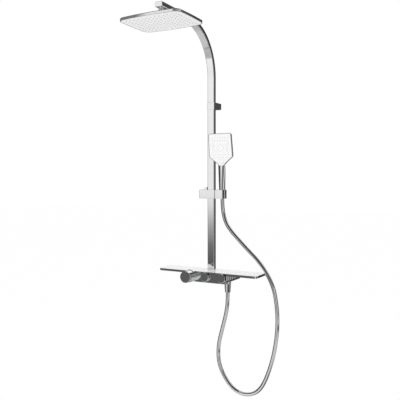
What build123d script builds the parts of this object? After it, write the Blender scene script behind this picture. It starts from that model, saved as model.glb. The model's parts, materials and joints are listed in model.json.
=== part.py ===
"""Thermostatic rainfall shower column: a flat riser over a shelf mixer, with a rain head and a hand shower.

Millimetres. +X is to the user's right, +Y goes into the wall, whose face is the plane Y = 0, and +Z is up.
The origin is on the wall, at the centre of the upper bracket's screw holes.
"""

import os
from math import cos, pi, radians, sin, tan

from build123d import *

os.makedirs("parts", exist_ok=True)

# ---------------------------------------------------------------- driving dimensions
# riser column and arm
column_width = 32.0
column_depth = 19.0
column_wall = 1.5
column_corner = 2.5
column_standoff = 59.0  # wall to the column's axis
arm_rise = 325.6  # bracket centre up to the arm's axis
bend_radius = 206.0
arm_reach = 419.0  # column axis forward to the arm's end
shelf_drop = 710.0  # bracket centre down to the shelf's top

# wall bracket
bracket_height = 26.8
bracket_drop = 4.7  # how much lower the sleeve reaches than the wall end
sleeve_wall = 1.3
bracket_hole_spacing = 16.0
bracket_hole = 5.2
bracket_base_depth = 12.0

# rain head
head_width = 269.0
head_depth = 205.0
head_thickness = 11.0
head_corner = 28.0
head_front_bulge = 9.0
head_side_bulge = 3.5
head_rim = 3.0
swivel_setback = 18.0  # arm's end back to the swivel
head_drop = 58.6  # arm axis down to the head's mid plane
nozzle_plate = 2.6
nozzle_pitch = 18.0
nozzle_radius = 1.7
nozzle_height = 1.6
ball_radius = 9.0
ball_neck = 5.5
ball_bore = 3.0
ball_seat_drop = 3.4  # ball's centre down to the seat's top, so that the nut clears it when tilted
swivel_diameter = 22.0

# slider and cradle
slider_height = 38.0
slider_drop = 385.0  # bracket centre down to the slider's centre
slider_left = 46.4  # column axis to the slider's left end
slider_right = 29.0
slider_front = 20.0  # how far it stands out in front of the column
slider_back = 3.0
cradle_width = 37.3
pivot_radius = 8.0
pivot_length = 7.5
pivot_bolt = 1.8
friction_washer_thickness = 1.0
lever_width = 12.0
lever_length = 26.0
lever_rise = 13.0
lever_pin_radius = 1.5

# hand shower
handle_lean = 2.0  # degrees forwards
handset_bend = 6.0  # degrees, head against handle
handset_offset = 27.0  # socket axis from the slider's right end
handle_length = 101.5
handset_width = 112.0
handset_top_width = 108.0
handset_height = 139.5
handset_shoulder = 38.5  # how high the widest place is
handset_thickness = 11.6
handset_plate = 2.2
hose_radius = 8.0
cone_top_radius = 12.9
cone_bottom_radius = 10.7
cone_length = 37.0
mode_button_width = 26.0
mode_button_height = 19.0
mode_button_travel = 2.0

# shelf
shelf_width = 463.0
shelf_depth = 101.0
shelf_thickness = 9.5
shelf_offset = 17.6  # shelf centre right of the column
shelf_corner = 13.0
shelf_rim = 2.0
glass_thickness = 3.0
shelf_front = 150.0  # wall to the shelf's front edge

# mixer
mixer_width = 192.0
mixer_height = 34.4  # below the shelf's underside
mixer_corner = 12.0
front_plate_thickness = 3.0
casing_wall = 1.6
side_cover = 4.0
flute_pitch = 17.2
control_drop = 20.5  # shelf top down to the controls' axis
knob_inset = 25.0  # from the mixer's left side
button_insets = (95.0, 18.0)  # from the mixer's right side
knob_radius = 24.5
knob_length = 38.0
knob_ring_radius = 26.5
knob_ring_length = 8.2
button_radius = 18.4
button_length = 8.6
button_travel = 2.5
cartridge_radius = 12.0
inlet_inset = 21.0  # from each side of the mixer
inlet_drop = 26.5  # shelf top down to the inlets' axis
inlet_thread = 10.48  # G 1/2
union_thread = 13.22  # G 3/4
union_offset = 4.0  # how much lower the wall threads are than the mixer's inlets
wall_thread_length = 12.0

# hose outlet
outlet_inset = 16.2  # from the mixer's right side
outlet_forward = 99.0  # from the wall
hose_nut_top = 14.0
hose_nut_bottom = 11.4
hose_nut_length = 36.0

# fits
slide_gap = 0.3  # sliding and turning pieces
seat_gap = 0.3  # pieces set against each other
fit_gap = 0.05  # pins and spindles in their bores

# ---------------------------------------------------------------- places worked out from them
column_y = -column_standoff
column_front = column_y - column_depth / 2
column_back = column_y + column_depth / 2
shelf_top = -shelf_drop
shelf_under = shelf_top - shelf_thickness
arm_z = arm_rise
arm_under = arm_z - column_depth / 2
arm_end = column_y - arm_reach
head_y = arm_end + swivel_setback
head_z = arm_z - head_drop
head_top = head_z + head_thickness / 2
head_under = head_z - head_thickness / 2
slider_z = -slider_drop
slider_front_y = column_front - slider_front
slider_back_y = column_back + slider_back
slider_y = (slider_front_y + slider_back_y) / 2
slider_thickness = slider_back_y - slider_front_y
socket_x = slider_right + handset_offset
socket_y = slider_y
mixer_x = shelf_offset
mixer_left = mixer_x - mixer_width / 2
mixer_right = mixer_x + mixer_width / 2
mixer_under = shelf_under - mixer_height
control_z = shelf_top - control_drop
front_y = -shelf_front
plate_back = front_y + front_plate_thickness
inlet_z = shelf_top - inlet_drop
outlet_x = mixer_right - outlet_inset
outlet_y = -outlet_forward
knob_x = mixer_left + knob_inset
head_button_x, hand_button_x = (mixer_right - inset for inset in button_insets)
inlet_spacing = mixer_width - 2 * inlet_inset


def save(piece, label):
    """Labels a finished piece and writes it as one STEP file."""
    piece.part.label = label
    export_step(piece.part, f"parts/{label}.step")


def facing_front(x, y, z):
    """A plane at a point, facing the user, with its x to the right and its y up."""
    return Plane(origin=(x, y, z), x_dir=(1, 0, 0), z_dir=(0, -1, 0))


def facing_wall(x, y, z):
    """A plane at a point, facing the wall, with its y up."""
    return Plane(origin=(x, y, z), x_dir=(-1, 0, 0), z_dir=(0, 1, 0))


def level(x, y, z):
    """A level plane at a point."""
    return Plane(origin=(x, y, z))


def upright(x, y, z):
    """A plane through a vertical axis, with its x to the right and its y up, for revolved profiles."""
    return Plane(origin=(x, y, z), x_dir=(1, 0, 0), z_dir=(0, -1, 0))


# ---------------------------------------------------------------- riser column
base_z = shelf_under + seat_gap  # the column stands on the valve body, inside the shelf's notch
bore_width = column_width - 2 * column_wall
bore_depth = column_depth - 2 * column_wall
bore_corner = column_corner - column_wall

with BuildPart() as riser_tube:
    with BuildSketch(level(0, column_y, base_z)):
        RectangleRounded(column_width, column_depth, column_corner)
        RectangleRounded(bore_width, bore_depth, bore_corner, mode=Mode.SUBTRACT)
    extrude(amount=-base_z)
save(riser_tube, "riser_tube")

with BuildPart() as arm_tube:
    with BuildLine(Plane.YZ):
        rise = Line((column_y, 0), (column_y, arm_z - bend_radius))
        bend = JernArc(rise @ 1, rise % 1, bend_radius, 90)
        Line(bend @ 1, (arm_end, arm_z))
    with BuildSketch(level(0, column_y, 0)):
        RectangleRounded(column_width, column_depth, column_corner)
        RectangleRounded(bore_width, bore_depth, bore_corner, mode=Mode.SUBTRACT)
    sweep()
    with Locations((0, head_y, arm_under + column_wall / 2)):
        Cylinder(swivel_diameter / 2 - 4, column_wall * 3, mode=Mode.SUBTRACT)
save(arm_tube, "arm_tube")

joint_length = 56.0
spigot_gap = seat_gap / 2
with BuildPart() as joint_sleeve:
    with BuildSketch(level(0, column_y, -joint_length / 2)):
        RectangleRounded(
            bore_width - 2 * spigot_gap, bore_depth - 2 * spigot_gap, bore_corner - spigot_gap
        )
        RectangleRounded(bore_width - 6, bore_depth - 6, 1.0, mode=Mode.SUBTRACT)
    extrude(amount=joint_length)
save(joint_sleeve, "joint_sleeve")

cap_flange = 2.0
cap_plug = 12.0
with BuildPart() as arm_end_cap:
    with BuildSketch(facing_front(0, arm_end, arm_z)):
        RectangleRounded(column_width, column_depth, column_corner)
    extrude(amount=cap_flange)
    fillet(arm_end_cap.faces().sort_by(Axis.Y)[0].edges(), 1.2)
    with BuildSketch(facing_wall(0, arm_end, arm_z)):
        RectangleRounded(
            bore_width - 2 * spigot_gap, bore_depth - 2 * spigot_gap, bore_corner - spigot_gap
        )
        RectangleRounded(bore_width - 5, bore_depth - 5, 1.0, mode=Mode.SUBTRACT)
    extrude(amount=cap_plug - 4)
save(arm_end_cap, "arm_end_cap")

# ---------------------------------------------------------------- wall bracket
sleeve_gap = 0.2
sleeve_front = column_front - sleeve_gap - sleeve_wall
bracket_width = column_width + 2 * (sleeve_gap + sleeve_wall)
bracket_top = bracket_height / 2
bracket_low = -bracket_height / 2
pocket_width = bracket_width - 6.4
pocket_height = bracket_height - 5.0
screw_hole = 2.6
grub_y = -bracket_base_depth / 2

with BuildPart() as wall_bracket:
    with BuildSketch(Plane.YZ):
        with BuildLine():
            Polyline(
                (sleeve_front, bracket_top),
                (-seat_gap, bracket_top),
                (-seat_gap, bracket_low),
                (column_back + 4, bracket_low - bracket_drop),
                (sleeve_front, bracket_low - bracket_drop),
                close=True,
            )
        make_face()
    extrude(amount=bracket_width / 2, both=True)
    fillet(wall_bracket.edges().filter_by(Axis.Z), 1.5)
    fillet(wall_bracket.faces().sort_by(Axis.Y)[0].edges().filter_by(Axis.X), 0.9)
    with BuildSketch(level(0, column_y, bracket_low - bracket_drop - 1)):
        RectangleRounded(
            column_width + 2 * sleeve_gap, column_depth + 2 * sleeve_gap, column_corner + sleeve_gap
        )
    extrude(amount=bracket_height + bracket_drop + 2, mode=Mode.SUBTRACT)
    with BuildSketch(facing_front(0, -seat_gap, 0)):
        RectangleRounded(pocket_width, pocket_height, 2.0)
    extrude(amount=-column_back - seat_gap - 8, mode=Mode.SUBTRACT)
    with Locations((0, grub_y, bracket_low)):
        Cylinder(screw_hole, bracket_height / 2, mode=Mode.SUBTRACT)
save(wall_bracket, "wall_bracket")

with BuildPart() as bracket_base:
    with BuildSketch(facing_front(0, 0, 0)):
        RectangleRounded(pocket_width - 2 * seat_gap, pocket_height - 2 * seat_gap, 1.7)
    extrude(amount=bracket_base_depth)
    with BuildSketch(facing_front(0, 0, 0)):
        with GridLocations(bracket_hole_spacing, 1, 2, 1):
            Circle(bracket_hole / 2)
    extrude(amount=bracket_base_depth, mode=Mode.SUBTRACT)
    with BuildSketch(facing_front(0, -bracket_base_depth + 4, 0)):
        with GridLocations(bracket_hole_spacing, 1, 2, 1):
            Circle(bracket_hole / 2 + 2.2)
    extrude(amount=4, mode=Mode.SUBTRACT)
    with Locations((0, grub_y, -pocket_height / 2)):
        Cylinder(screw_hole, 7, mode=Mode.SUBTRACT)
save(bracket_base, "bracket_base")

grub_length = 8.0
with BuildPart() as bracket_grub_screw:
    with BuildSketch(level(0, grub_y, bracket_low + 0.4)):
        Circle(screw_hole - fit_gap)
        RegularPolygon(1.3, 6, mode=Mode.SUBTRACT)
    extrude(amount=3)
    with BuildSketch(level(0, grub_y, bracket_low + 3.4)):
        Circle(screw_hole - fit_gap)
    extrude(amount=2.4)
save(bracket_grub_screw, "bracket_grub_screw")

# ---------------------------------------------------------------- swivel under the arm
ball_z = head_top + 12.0
boss_height = 10.0
neck_top = ball_z + 13.0
boss_under = arm_under - boss_height

with BuildPart() as arm_outlet:
    with BuildSketch(level(0, head_y, boss_under)):
        Circle(swivel_diameter / 2)
        Circle(swivel_diameter / 2 - 3.5, mode=Mode.SUBTRACT)
    extrude(amount=boss_height)
save(arm_outlet, "arm_outlet")

with BuildPart() as ball_joint:
    with BuildSketch(upright(0, head_y, ball_z)):
        with BuildLine():
            Polyline(
                (0, 0),
                (0, boss_under - ball_z + 6),
                (swivel_diameter / 2 - 3.6, boss_under - ball_z + 6),
                (swivel_diameter / 2 - 3.6, boss_under - ball_z),
                (swivel_diameter / 2 - 0.6, boss_under - ball_z),
                (swivel_diameter / 2 - 0.6, neck_top - ball_z),
                (ball_neck, neck_top - ball_z - 2),
                (ball_neck, 0),
                close=True,
            )
        make_face()
    revolve(axis=Axis((0, head_y, 0), (0, 0, 1)))
    with Locations((0, head_y, ball_z)):
        Sphere(ball_radius)
    with Locations((0, head_y, ball_z)):
        Cylinder(ball_bore, 2 * (arm_under - ball_z), mode=Mode.SUBTRACT)
save(ball_joint, "ball_joint")

seat_inner = ball_radius + slide_gap
seat_outer = seat_inner + 1.6
with BuildPart() as ball_seat:
    with Locations((0, head_y, ball_z)):
        Sphere(seat_outer)
        Sphere(seat_inner, mode=Mode.SUBTRACT)
    split(bisect_by=level(0, head_y, ball_z - ball_seat_drop), keep=Keep.BOTTOM)
    with Locations((0, head_y, ball_z)):
        Cylinder(ball_bore + 1.6, 4 * seat_outer, mode=Mode.SUBTRACT)
save(ball_seat, "ball_seat")

nut_outer = 14.5
nut_lip = 4.6  # height of the nut's spherical lip over the ball's centre
lip_radius = (seat_inner**2 - nut_lip**2) ** 0.5
nut_low = head_top + 2.0
nut_top = ball_z + 7.6
with BuildPart() as ball_nut:
    with BuildSketch(level(0, head_y, nut_low)):
        Circle(nut_outer)
    extrude(amount=nut_top - nut_low)
    fillet(ball_nut.edges().group_by(Axis.Z)[-1], 1.5)
    with BuildSketch(level(0, head_y, nut_low)):
        Circle(nut_outer - 2.6)
    extrude(amount=ball_z - 2.4 - nut_low, mode=Mode.SUBTRACT)
    with Locations((0, head_y, ball_z)):
        Sphere(seat_inner, mode=Mode.SUBTRACT)
    with BuildSketch(level(0, head_y, ball_z + nut_lip)):
        Circle(lip_radius)
    with BuildSketch(level(0, head_y, nut_top)):
        Circle(lip_radius + 1.4)
    loft(mode=Mode.SUBTRACT)
    with BuildSketch(level(0, head_y, nut_low)):
        Circle(seat_outer + slide_gap)
    extrude(amount=ball_z - nut_low, mode=Mode.SUBTRACT)
save(ball_nut, "ball_nut")

# ---------------------------------------------------------------- rain head
half_w = head_width / 2
half_d = head_depth / 2
edge_w = half_w - head_side_bulge
edge_d = half_d - head_front_bulge


front_bulge_radius = (edge_w**2 + head_front_bulge**2) / (2 * head_front_bulge)
side_bulge_radius = (edge_d**2 + head_side_bulge**2) / (2 * head_side_bulge)


def head_plan(inset):
    """The head's plan, a rectangle with four bulging edges, drawn in by an inset."""
    with BuildSketch() as plan:
        with Locations((0, half_d - front_bulge_radius)):
            Circle(front_bulge_radius - inset)
        with Locations((0, front_bulge_radius - half_d)):
            Circle(front_bulge_radius - inset, mode=Mode.INTERSECT)
        with Locations((half_w - side_bulge_radius, 0)):
            Circle(side_bulge_radius - inset, mode=Mode.INTERSECT)
        with Locations((side_bulge_radius - half_w, 0)):
            Circle(side_bulge_radius - inset, mode=Mode.INTERSECT)
        fillet(plan.vertices(), head_corner - inset)
    return plan.sketch


hub_radius = nut_outer - 2.9
shell_skin = 1.6
with BuildPart() as head_shell:
    with BuildSketch(level(0, head_y, head_under)):
        add(head_plan(0))
    extrude(amount=head_thickness)
    fillet(head_shell.faces().sort_by(Axis.Z)[-1].edges(), 3.0)
    fillet(head_shell.faces().sort_by(Axis.Z)[0].edges(), 1.0)
    with BuildSketch(level(0, head_y, head_under)):
        add(head_plan(head_rim))
    extrude(amount=head_thickness - shell_skin - 1.2, mode=Mode.SUBTRACT)
    with BuildSketch(level(0, head_y, head_top - shell_skin)):
        Circle(hub_radius)
    extrude(amount=ball_z - 2.8 - head_top + shell_skin)
    with Locations((0, head_y, ball_z)):
        Sphere(seat_outer + slide_gap, mode=Mode.SUBTRACT)
    with Locations((0, head_y, head_top)):
        Cylinder(5.0, 20, mode=Mode.SUBTRACT)
save(head_shell, "head_shell")

plate_z = head_under + 0.6
with BuildPart() as head_face:
    with BuildSketch(level(0, head_y, plate_z)):
        add(head_plan(head_rim + seat_gap))
    extrude(amount=nozzle_plate)
save(head_face, "head_face")

nozzle_columns = 13
nozzle_rows = 9
with BuildPart() as head_nozzles:
    with BuildSketch(level(0, head_y, plate_z)):
        with GridLocations(nozzle_pitch, nozzle_pitch, nozzle_columns, nozzle_rows):
            RegularPolygon(nozzle_radius, 6)
    extrude(amount=-nozzle_height)
save(head_nozzles, "head_nozzles")

mat_thickness = 1.5
with BuildPart() as nozzle_mat:
    with BuildSketch(level(0, head_y, plate_z + nozzle_plate)):
        add(head_plan(head_rim + 6))
    extrude(amount=mat_thickness)
save(nozzle_mat, "nozzle_mat")

# ---------------------------------------------------------------- slider
slider_top = slider_z + slider_height / 2
slider_low = slider_z - slider_height / 2
hole_width = column_width + 2 * slide_gap
hole_depth = column_depth + 2 * slide_gap
lever_y = column_y - 5.0
lever_right = -column_width / 2 - 2.0
lever_left = lever_right - lever_length
pin_x = lever_left + 5.0
pin_z = slider_top - 5.0
pocket_gap = 0.6
cradle_left = slider_right + 0.4
pivot_end = cradle_left - pivot_length
pivot_floor = pivot_end - friction_washer_thickness - 0.2
pivot_head = 4.6
pivot_head_seat = pivot_floor - 1.8
pad_height = 14.0
pad_left = lever_right - 4.4
pad_z = slider_top - 24.0
nose_width = 4.5
nose_right = pad_left - seat_gap
nose_left = nose_right - nose_width

with BuildPart() as slider_body:
    with BuildSketch(level((slider_right - slider_left) / 2, slider_y, slider_low)):
        RectangleRounded(slider_left + slider_right, slider_thickness, 2.0)
    extrude(amount=slider_height)
    fillet(slider_body.faces().sort_by(Axis.Z)[-1].edges(), 0.8)
    fillet(slider_body.faces().sort_by(Axis.Z)[0].edges(), 0.8)
    with BuildSketch(level(0, column_y, slider_low)):
        RectangleRounded(hole_width, hole_depth, column_corner + slide_gap)
    extrude(amount=slider_height, mode=Mode.SUBTRACT)
    with BuildSketch(Plane.XZ.offset(-(lever_y + lever_width / 2 + pocket_gap))):
        with BuildLine():
            Polyline(
                (lever_left - 1.0, slider_top + 1),
                (lever_left - 1.0, slider_top - 11),
                (nose_left - 4.0, slider_top - 11),
                (nose_left - 4.0, pad_z - pad_height / 2 - pocket_gap),
                (0, pad_z - pad_height / 2 - pocket_gap),
                (0, slider_top + 1),
                close=True,
            )
        make_face()
    extrude(amount=lever_width + 2 * pocket_gap, mode=Mode.SUBTRACT)
    with BuildSketch(facing_front(pin_x, lever_y, pin_z)):
        Circle(lever_pin_radius)
    extrude(amount=lever_width / 2 + 5, both=True, mode=Mode.SUBTRACT)
    with BuildSketch(Plane.YZ.offset(pivot_floor)):
        with Locations((column_y, slider_z)):
            Circle(pivot_radius + fit_gap)
    extrude(amount=pivot_length + 5, mode=Mode.SUBTRACT)
    with BuildSketch(Plane.YZ):
        with Locations((column_y, slider_z)):
            Circle(pivot_bolt + fit_gap)
    extrude(amount=slider_right, mode=Mode.SUBTRACT)
    with BuildSketch(Plane.YZ):
        with Locations((column_y, slider_z)):
            Circle(pivot_head + seat_gap)
    extrude(amount=pivot_head_seat, mode=Mode.SUBTRACT)
save(slider_body, "slider_body")

with BuildPart() as release_lever:
    with BuildSketch(Plane.XZ.offset(-(lever_y + lever_width / 2))):
        with BuildLine():
            Polyline(
                (lever_left, slider_top - 8.5),
                (lever_left, slider_top + 1.0),
                (lever_right, slider_top + lever_rise),
                (lever_right, slider_top - 8.5),
                (nose_right, slider_top - 8.5),
                (nose_right, pad_z - 3),
                (nose_left, pad_z - 3),
                (nose_left, slider_top - 8.5),
                close=True,
            )
        make_face()
    extrude(amount=lever_width)
    with BuildSketch(facing_front(pin_x, lever_y, pin_z)):
        Circle(lever_pin_radius + fit_gap)
    extrude(amount=lever_width, both=True, mode=Mode.SUBTRACT)
    fillet(release_lever.edges().group_by(Axis.Z)[-1], 0.8)
save(release_lever, "release_lever")

with BuildPart() as lever_pin:
    with BuildSketch(facing_front(pin_x, lever_y, pin_z)):
        Circle(lever_pin_radius)
    extrude(amount=lever_width / 2 + 4.5, both=True)
save(lever_pin, "lever_pin")

pad_face = -column_width / 2 - slide_gap
with BuildPart() as clamp_pad:
    with Locations(((pad_left + pad_face) / 2, lever_y, pad_z)):
        Box(pad_face - pad_left, lever_width, pad_height)
    fillet(clamp_pad.edges().filter_by(Axis.Y), 0.8)
save(clamp_pad, "clamp_pad")

# ---------------------------------------------------------------- cradle
cradle_right = cradle_left + cradle_width
socket_plane = Plane(
    origin=(socket_x, socket_y, slider_z),
    x_dir=(1, 0, 0),
    z_dir=(0, -sin(radians(handle_lean)), cos(radians(handle_lean))),
)
slot_width = 2 * hose_radius + 2.0
socket_slope = (cone_top_radius - cone_bottom_radius) / cone_length
socket_reach = slider_height / 2 + 2
handle_start = slider_height / 2 + 1.4  # up the socket's axis from its centre
cone_start = handle_start - seat_gap
cone_end = cone_start - cone_length
socket_top = cone_top_radius + socket_slope * (socket_reach - cone_start) + slide_gap
socket_low = socket_top - 2 * socket_reach * socket_slope

bolt_depth = 12.0
with BuildPart() as cradle:
    with BuildSketch(level((cradle_left + cradle_right) / 2, slider_y, slider_low)):
        RectangleRounded(cradle_width, slider_thickness, 2.0)
    extrude(amount=slider_height)
    fillet(cradle.faces().sort_by(Axis.Z)[-1].edges(), 0.8)
    with BuildSketch(Plane.YZ.offset(pivot_end)):
        with Locations((column_y, slider_z)):
            Circle(pivot_radius)
    extrude(amount=pivot_length + 1)
    with BuildSketch(Plane.YZ.offset(pivot_end)):
        with Locations((column_y, slider_z)):
            Circle(pivot_bolt + fit_gap)
    extrude(amount=bolt_depth, mode=Mode.SUBTRACT)
    with BuildSketch(socket_plane.offset(-socket_reach)):
        Circle(socket_low)
    with BuildSketch(socket_plane.offset(socket_reach)):
        Circle(socket_top)
    loft(mode=Mode.SUBTRACT)
    with BuildSketch(socket_plane.offset(-socket_reach)):
        with Locations((cradle_width / 2, 0)):
            Rectangle(cradle_width, slot_width)
    extrude(amount=2 * socket_reach, mode=Mode.SUBTRACT)
save(cradle, "cradle")

head_start = pivot_head_seat - seat_gap - 2.0
with BuildPart() as pivot_screw:
    with BuildSketch(Plane.YZ.offset(head_start)):
        with Locations((column_y, slider_z)):
            Circle(pivot_head)
            RegularPolygon(1.4, 6, mode=Mode.SUBTRACT)
    extrude(amount=2.0)
    with BuildSketch(Plane.YZ.offset(head_start + 1.4)):
        with Locations((column_y, slider_z)):
            Circle(pivot_bolt)
    extrude(amount=pivot_end + bolt_depth - 1 - head_start - 1.4)
save(pivot_screw, "pivot_screw")

with BuildPart() as friction_washer:
    with BuildSketch(Plane.YZ.offset(pivot_floor + 0.1)):
        with Locations((column_y, slider_z)):
            Circle(pivot_radius - seat_gap)
            Circle(pivot_bolt + seat_gap, mode=Mode.SUBTRACT)
    extrude(amount=friction_washer_thickness)
save(friction_washer, "friction_washer")

# ---------------------------------------------------------------- hand shower
def along(distance):
    """The socket's plane moved up along the handle's axis."""
    return socket_plane.offset(distance)


handle_end = handle_start + handle_length
head_lean = radians(handle_lean + handset_bend)
head_origin = along(handle_end).origin
head_up = (0, -sin(head_lean), cos(head_lean))
handset_plane = Plane(origin=head_origin, x_dir=(1, 0, 0), z_dir=(0, -cos(head_lean), -sin(head_lean)))
neck_height = 7.0
neck_plane = Plane(
    origin=handset_plane.from_local_coords((0, neck_height, 0)), x_dir=(1, 0, 0), z_dir=head_up
)
handset_front = handset_thickness / 2
face_front = handset_front - 0.4
face_back = face_front - handset_plate
handset_rim = 3.0
button_height = 20.0
inlet_bore = 8.0

# the hand shower's front has wide shoulders over a blunt V
with BuildSketch() as handset_plan:
    with BuildLine():
        Polyline(
            (-9.0, -1.0),
            (9.0, -1.0),
            (28.5, 17.5),
            (handset_width / 2, handset_shoulder),
            (handset_top_width / 2, handset_height),
            (-handset_top_width / 2, handset_height),
            (-handset_width / 2, handset_shoulder),
            (-28.5, 17.5),
            close=True,
        )
    make_face()
    fillet(handset_plan.vertices().group_by(Axis.Y)[-1], 8.0)
    fillet(handset_plan.vertices().group_by(Axis.Y)[0], 7.0)
    fillet(handset_plan.vertices().sort_by(Axis.X)[0], 10.0)
    fillet(handset_plan.vertices().sort_by(Axis.X)[-1], 10.0)

with BuildPart() as handset_shell:
    with BuildSketch(handset_plane.offset(-handset_front)):
        add(handset_plan.sketch)
    extrude(amount=handset_thickness)
    fillet(handset_shell.faces().sort_by(Axis(head_origin, handset_plane.z_dir))[0].edges(), 3.0)
    fillet(handset_shell.faces().sort_by(Axis(head_origin, handset_plane.z_dir))[-1].edges(), handset_rim - 0.6)
    with BuildSketch(along(handle_start)):
        Ellipse(14.5, 12.0)
    with BuildSketch(along(handle_start + 0.4 * handle_length)):
        Ellipse(15.5, 10.5)
    with BuildSketch(along(handle_start + 0.8 * handle_length)):
        Ellipse(16.6, 8.0)
    with BuildSketch(neck_plane):
        Ellipse(16.6, handset_front - 0.3)
    loft()
    with BuildSketch(handset_plane.offset(face_back)):
        add(handset_plan.sketch)
        offset(amount=-handset_rim, mode=Mode.REPLACE)
    extrude(amount=handset_plate + 20, mode=Mode.SUBTRACT)
    with BuildSketch(handset_plane.offset(face_back)):
        with Locations((0, button_height)):
            Ellipse(mode_button_width / 2 + seat_gap, mode_button_height / 2 + seat_gap)
    extrude(amount=-mode_button_travel - 1, mode=Mode.SUBTRACT)
    with BuildSketch(along(handle_start)):
        Circle(inlet_bore + fit_gap)
    extrude(amount=15, mode=Mode.SUBTRACT)
save(handset_shell, "handset_shell")

with BuildPart() as handset_face:
    with BuildSketch(handset_plane.offset(face_back)):
        add(handset_plan.sketch)
        offset(amount=-handset_rim - seat_gap, mode=Mode.REPLACE)
        with Locations((0, button_height)):
            Ellipse(
                mode_button_width / 2 + seat_gap,
                mode_button_height / 2 + seat_gap,
                mode=Mode.SUBTRACT,
            )
    extrude(amount=handset_plate)
save(handset_face, "handset_face")

spray_ring = 15.0
spray_height = 78.0
spray_pitch = 12.0
spray_radius = 1.3
with BuildPart() as handset_nozzles:
    with BuildSketch(handset_plane.offset(face_front)):
        with Locations((0, spray_height)):
            with PolarLocations(spray_ring, 8):
                RegularPolygon(spray_radius, 6)
            with GridLocations(spray_pitch, spray_pitch * 7, 7, 2):
                RegularPolygon(spray_radius, 6)
            with GridLocations(spray_pitch, spray_pitch * 5, 7, 2):
                RegularPolygon(spray_radius, 6)
            with GridLocations(spray_pitch * 6, spray_pitch, 2, 4):
                RegularPolygon(spray_radius, 6)
            with GridLocations(spray_pitch * 5, spray_pitch, 2, 3):
                RegularPolygon(spray_radius, 6)
    extrude(amount=0.9)
save(handset_nozzles, "handset_nozzles")

with BuildPart() as mode_button:
    with BuildSketch(handset_plane.offset(face_back - 0.3)):
        with Locations((0, button_height)):
            Ellipse(mode_button_width / 2, mode_button_height / 2)
    extrude(amount=handset_plate + 0.3 + 1.4)
    fillet(mode_button.faces().sort_by(Axis(head_origin, handset_plane.z_dir))[-1].edges(), 0.9)
save(mode_button, "mode_button")

# ---------------------------------------------------------------- hose and its nuts
hose_bore = 5.5
inlet_reach = 12.0
inlet_washer = 2.0
with BuildPart() as handset_inlet:
    with BuildSketch(along(handle_start - inlet_reach)):
        Circle(inlet_thread)
    extrude(amount=inlet_reach)
    with BuildSketch(along(handle_start)):
        Circle(inlet_bore)
    extrude(amount=14)
    with BuildSketch(along(handle_start - inlet_reach)):
        Circle(hose_bore)
    extrude(amount=40, mode=Mode.SUBTRACT)
save(handset_inlet, "handset_inlet")

with BuildPart() as handset_washer:
    with BuildSketch(along(handle_start - inlet_reach - inlet_washer)):
        Circle(inlet_thread - seat_gap)
        Circle(hose_bore, mode=Mode.SUBTRACT)
    extrude(amount=inlet_washer)
save(handset_washer, "handset_washer")

with BuildPart() as hose_cone_nut:
    with BuildSketch(along(cone_end)):
        Circle(cone_bottom_radius)
    with BuildSketch(along(cone_start)):
        Circle(cone_top_radius)
    loft()
    with BuildSketch(along(handle_start - inlet_reach - inlet_washer)):
        Circle(inlet_thread + fit_gap)
    extrude(amount=30, mode=Mode.SUBTRACT)
    with BuildSketch(along(cone_end)):
        Circle(hose_bore)
    extrude(amount=cone_length, mode=Mode.SUBTRACT)
save(hose_cone_nut, "hose_cone_nut")

outlet_flange = 15.0
outlet_flange_thickness = 2.0
outlet_thread_length = 13.0
outlet_gap = 3.0  # nipple showing above the hose's nut
nut_start = mixer_under - outlet_flange_thickness - outlet_gap - seat_gap
nut_end = nut_start - hose_nut_length
nipple_end = nut_start - 10.0
with BuildPart() as hose_nut_lower:
    with BuildSketch(level(outlet_x, outlet_y, nut_end)):
        Circle(hose_nut_bottom)
    with BuildSketch(level(outlet_x, outlet_y, nut_start)):
        Circle(hose_nut_top)
    loft()
    fillet(hose_nut_lower.edges().group_by(Axis.Z)[-1], 1.0)
    with BuildSketch(level(outlet_x, outlet_y, nipple_end - inlet_washer)):
        Circle(inlet_thread + fit_gap)
    extrude(amount=30, mode=Mode.SUBTRACT)
    with BuildSketch(level(outlet_x, outlet_y, nut_end)):
        Circle(hose_bore)
    extrude(amount=hose_nut_length, mode=Mode.SUBTRACT)
save(hose_nut_lower, "hose_nut_lower")

with BuildPart() as hose_washer:
    with BuildSketch(level(outlet_x, outlet_y, nipple_end - inlet_washer)):
        Circle(inlet_thread - seat_gap)
        Circle(hose_bore, mode=Mode.SUBTRACT)
    extrude(amount=inlet_washer)
save(hose_washer, "hose_washer")

hose_top = along(cone_end).origin
hose_points = [
    (hose_top.X, hose_top.Y, hose_top.Z),
    (socket_x, hose_top.Y + 34 * tan(radians(handle_lean)), hose_top.Z - 34),
    (65.0, -70.0, -484.0),
    (90.5, -75.9, -530.0),
    (174.9, -88.3, -605.3),
    (249.0, -98.1, -666.2),
    (301.4, -104.0, -744.3),
    (317.9, -104.0, -818.9),
    (322.5, -103.9, -899.9),
    (313.6, -103.4, -985.4),
    (293.8, -102.9, -1071.1),
    (258.6, -102.3, -1161.3),
    (218.5, -102.0, -1201.8),
    (162.5, -101.7, -1212.1),
    (110.7, -101.4, -1188.6),
    (59.5, -100.9, -1117.8),
    (50.6, -100.4, -1034.5),
    (75.0, -99.8, -942.0),
    (90.0, -99.4, -886.0),
    (outlet_x, outlet_y, -838.0),
    (outlet_x, outlet_y, nut_end),
]
hose_vectors = [Vector(*point) for point in hose_points]
hose_runs = [end - start for start, end in zip(hose_vectors, hose_vectors[1:])]
hose_radii = [
    0.45 * min(before.length, after.length) / tan(radians(before.get_angle(after)) / 2)
    for before, after in zip(hose_runs, hose_runs[1:])
]
with BuildPart() as hose:
    with BuildLine() as hose_path:
        FilletPolyline(*hose_vectors, radius=hose_radii)
    with BuildSketch(Plane(origin=hose_vectors[0], z_dir=hose_runs[0])):
        Circle(hose_radius)
    sweep(path=hose_path.line)
save(hose, "hose")
hose_length = sum(edge.length for edge in hose_path.edges())
print("hose runs", [round(run.length) for run in hose_runs])
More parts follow.
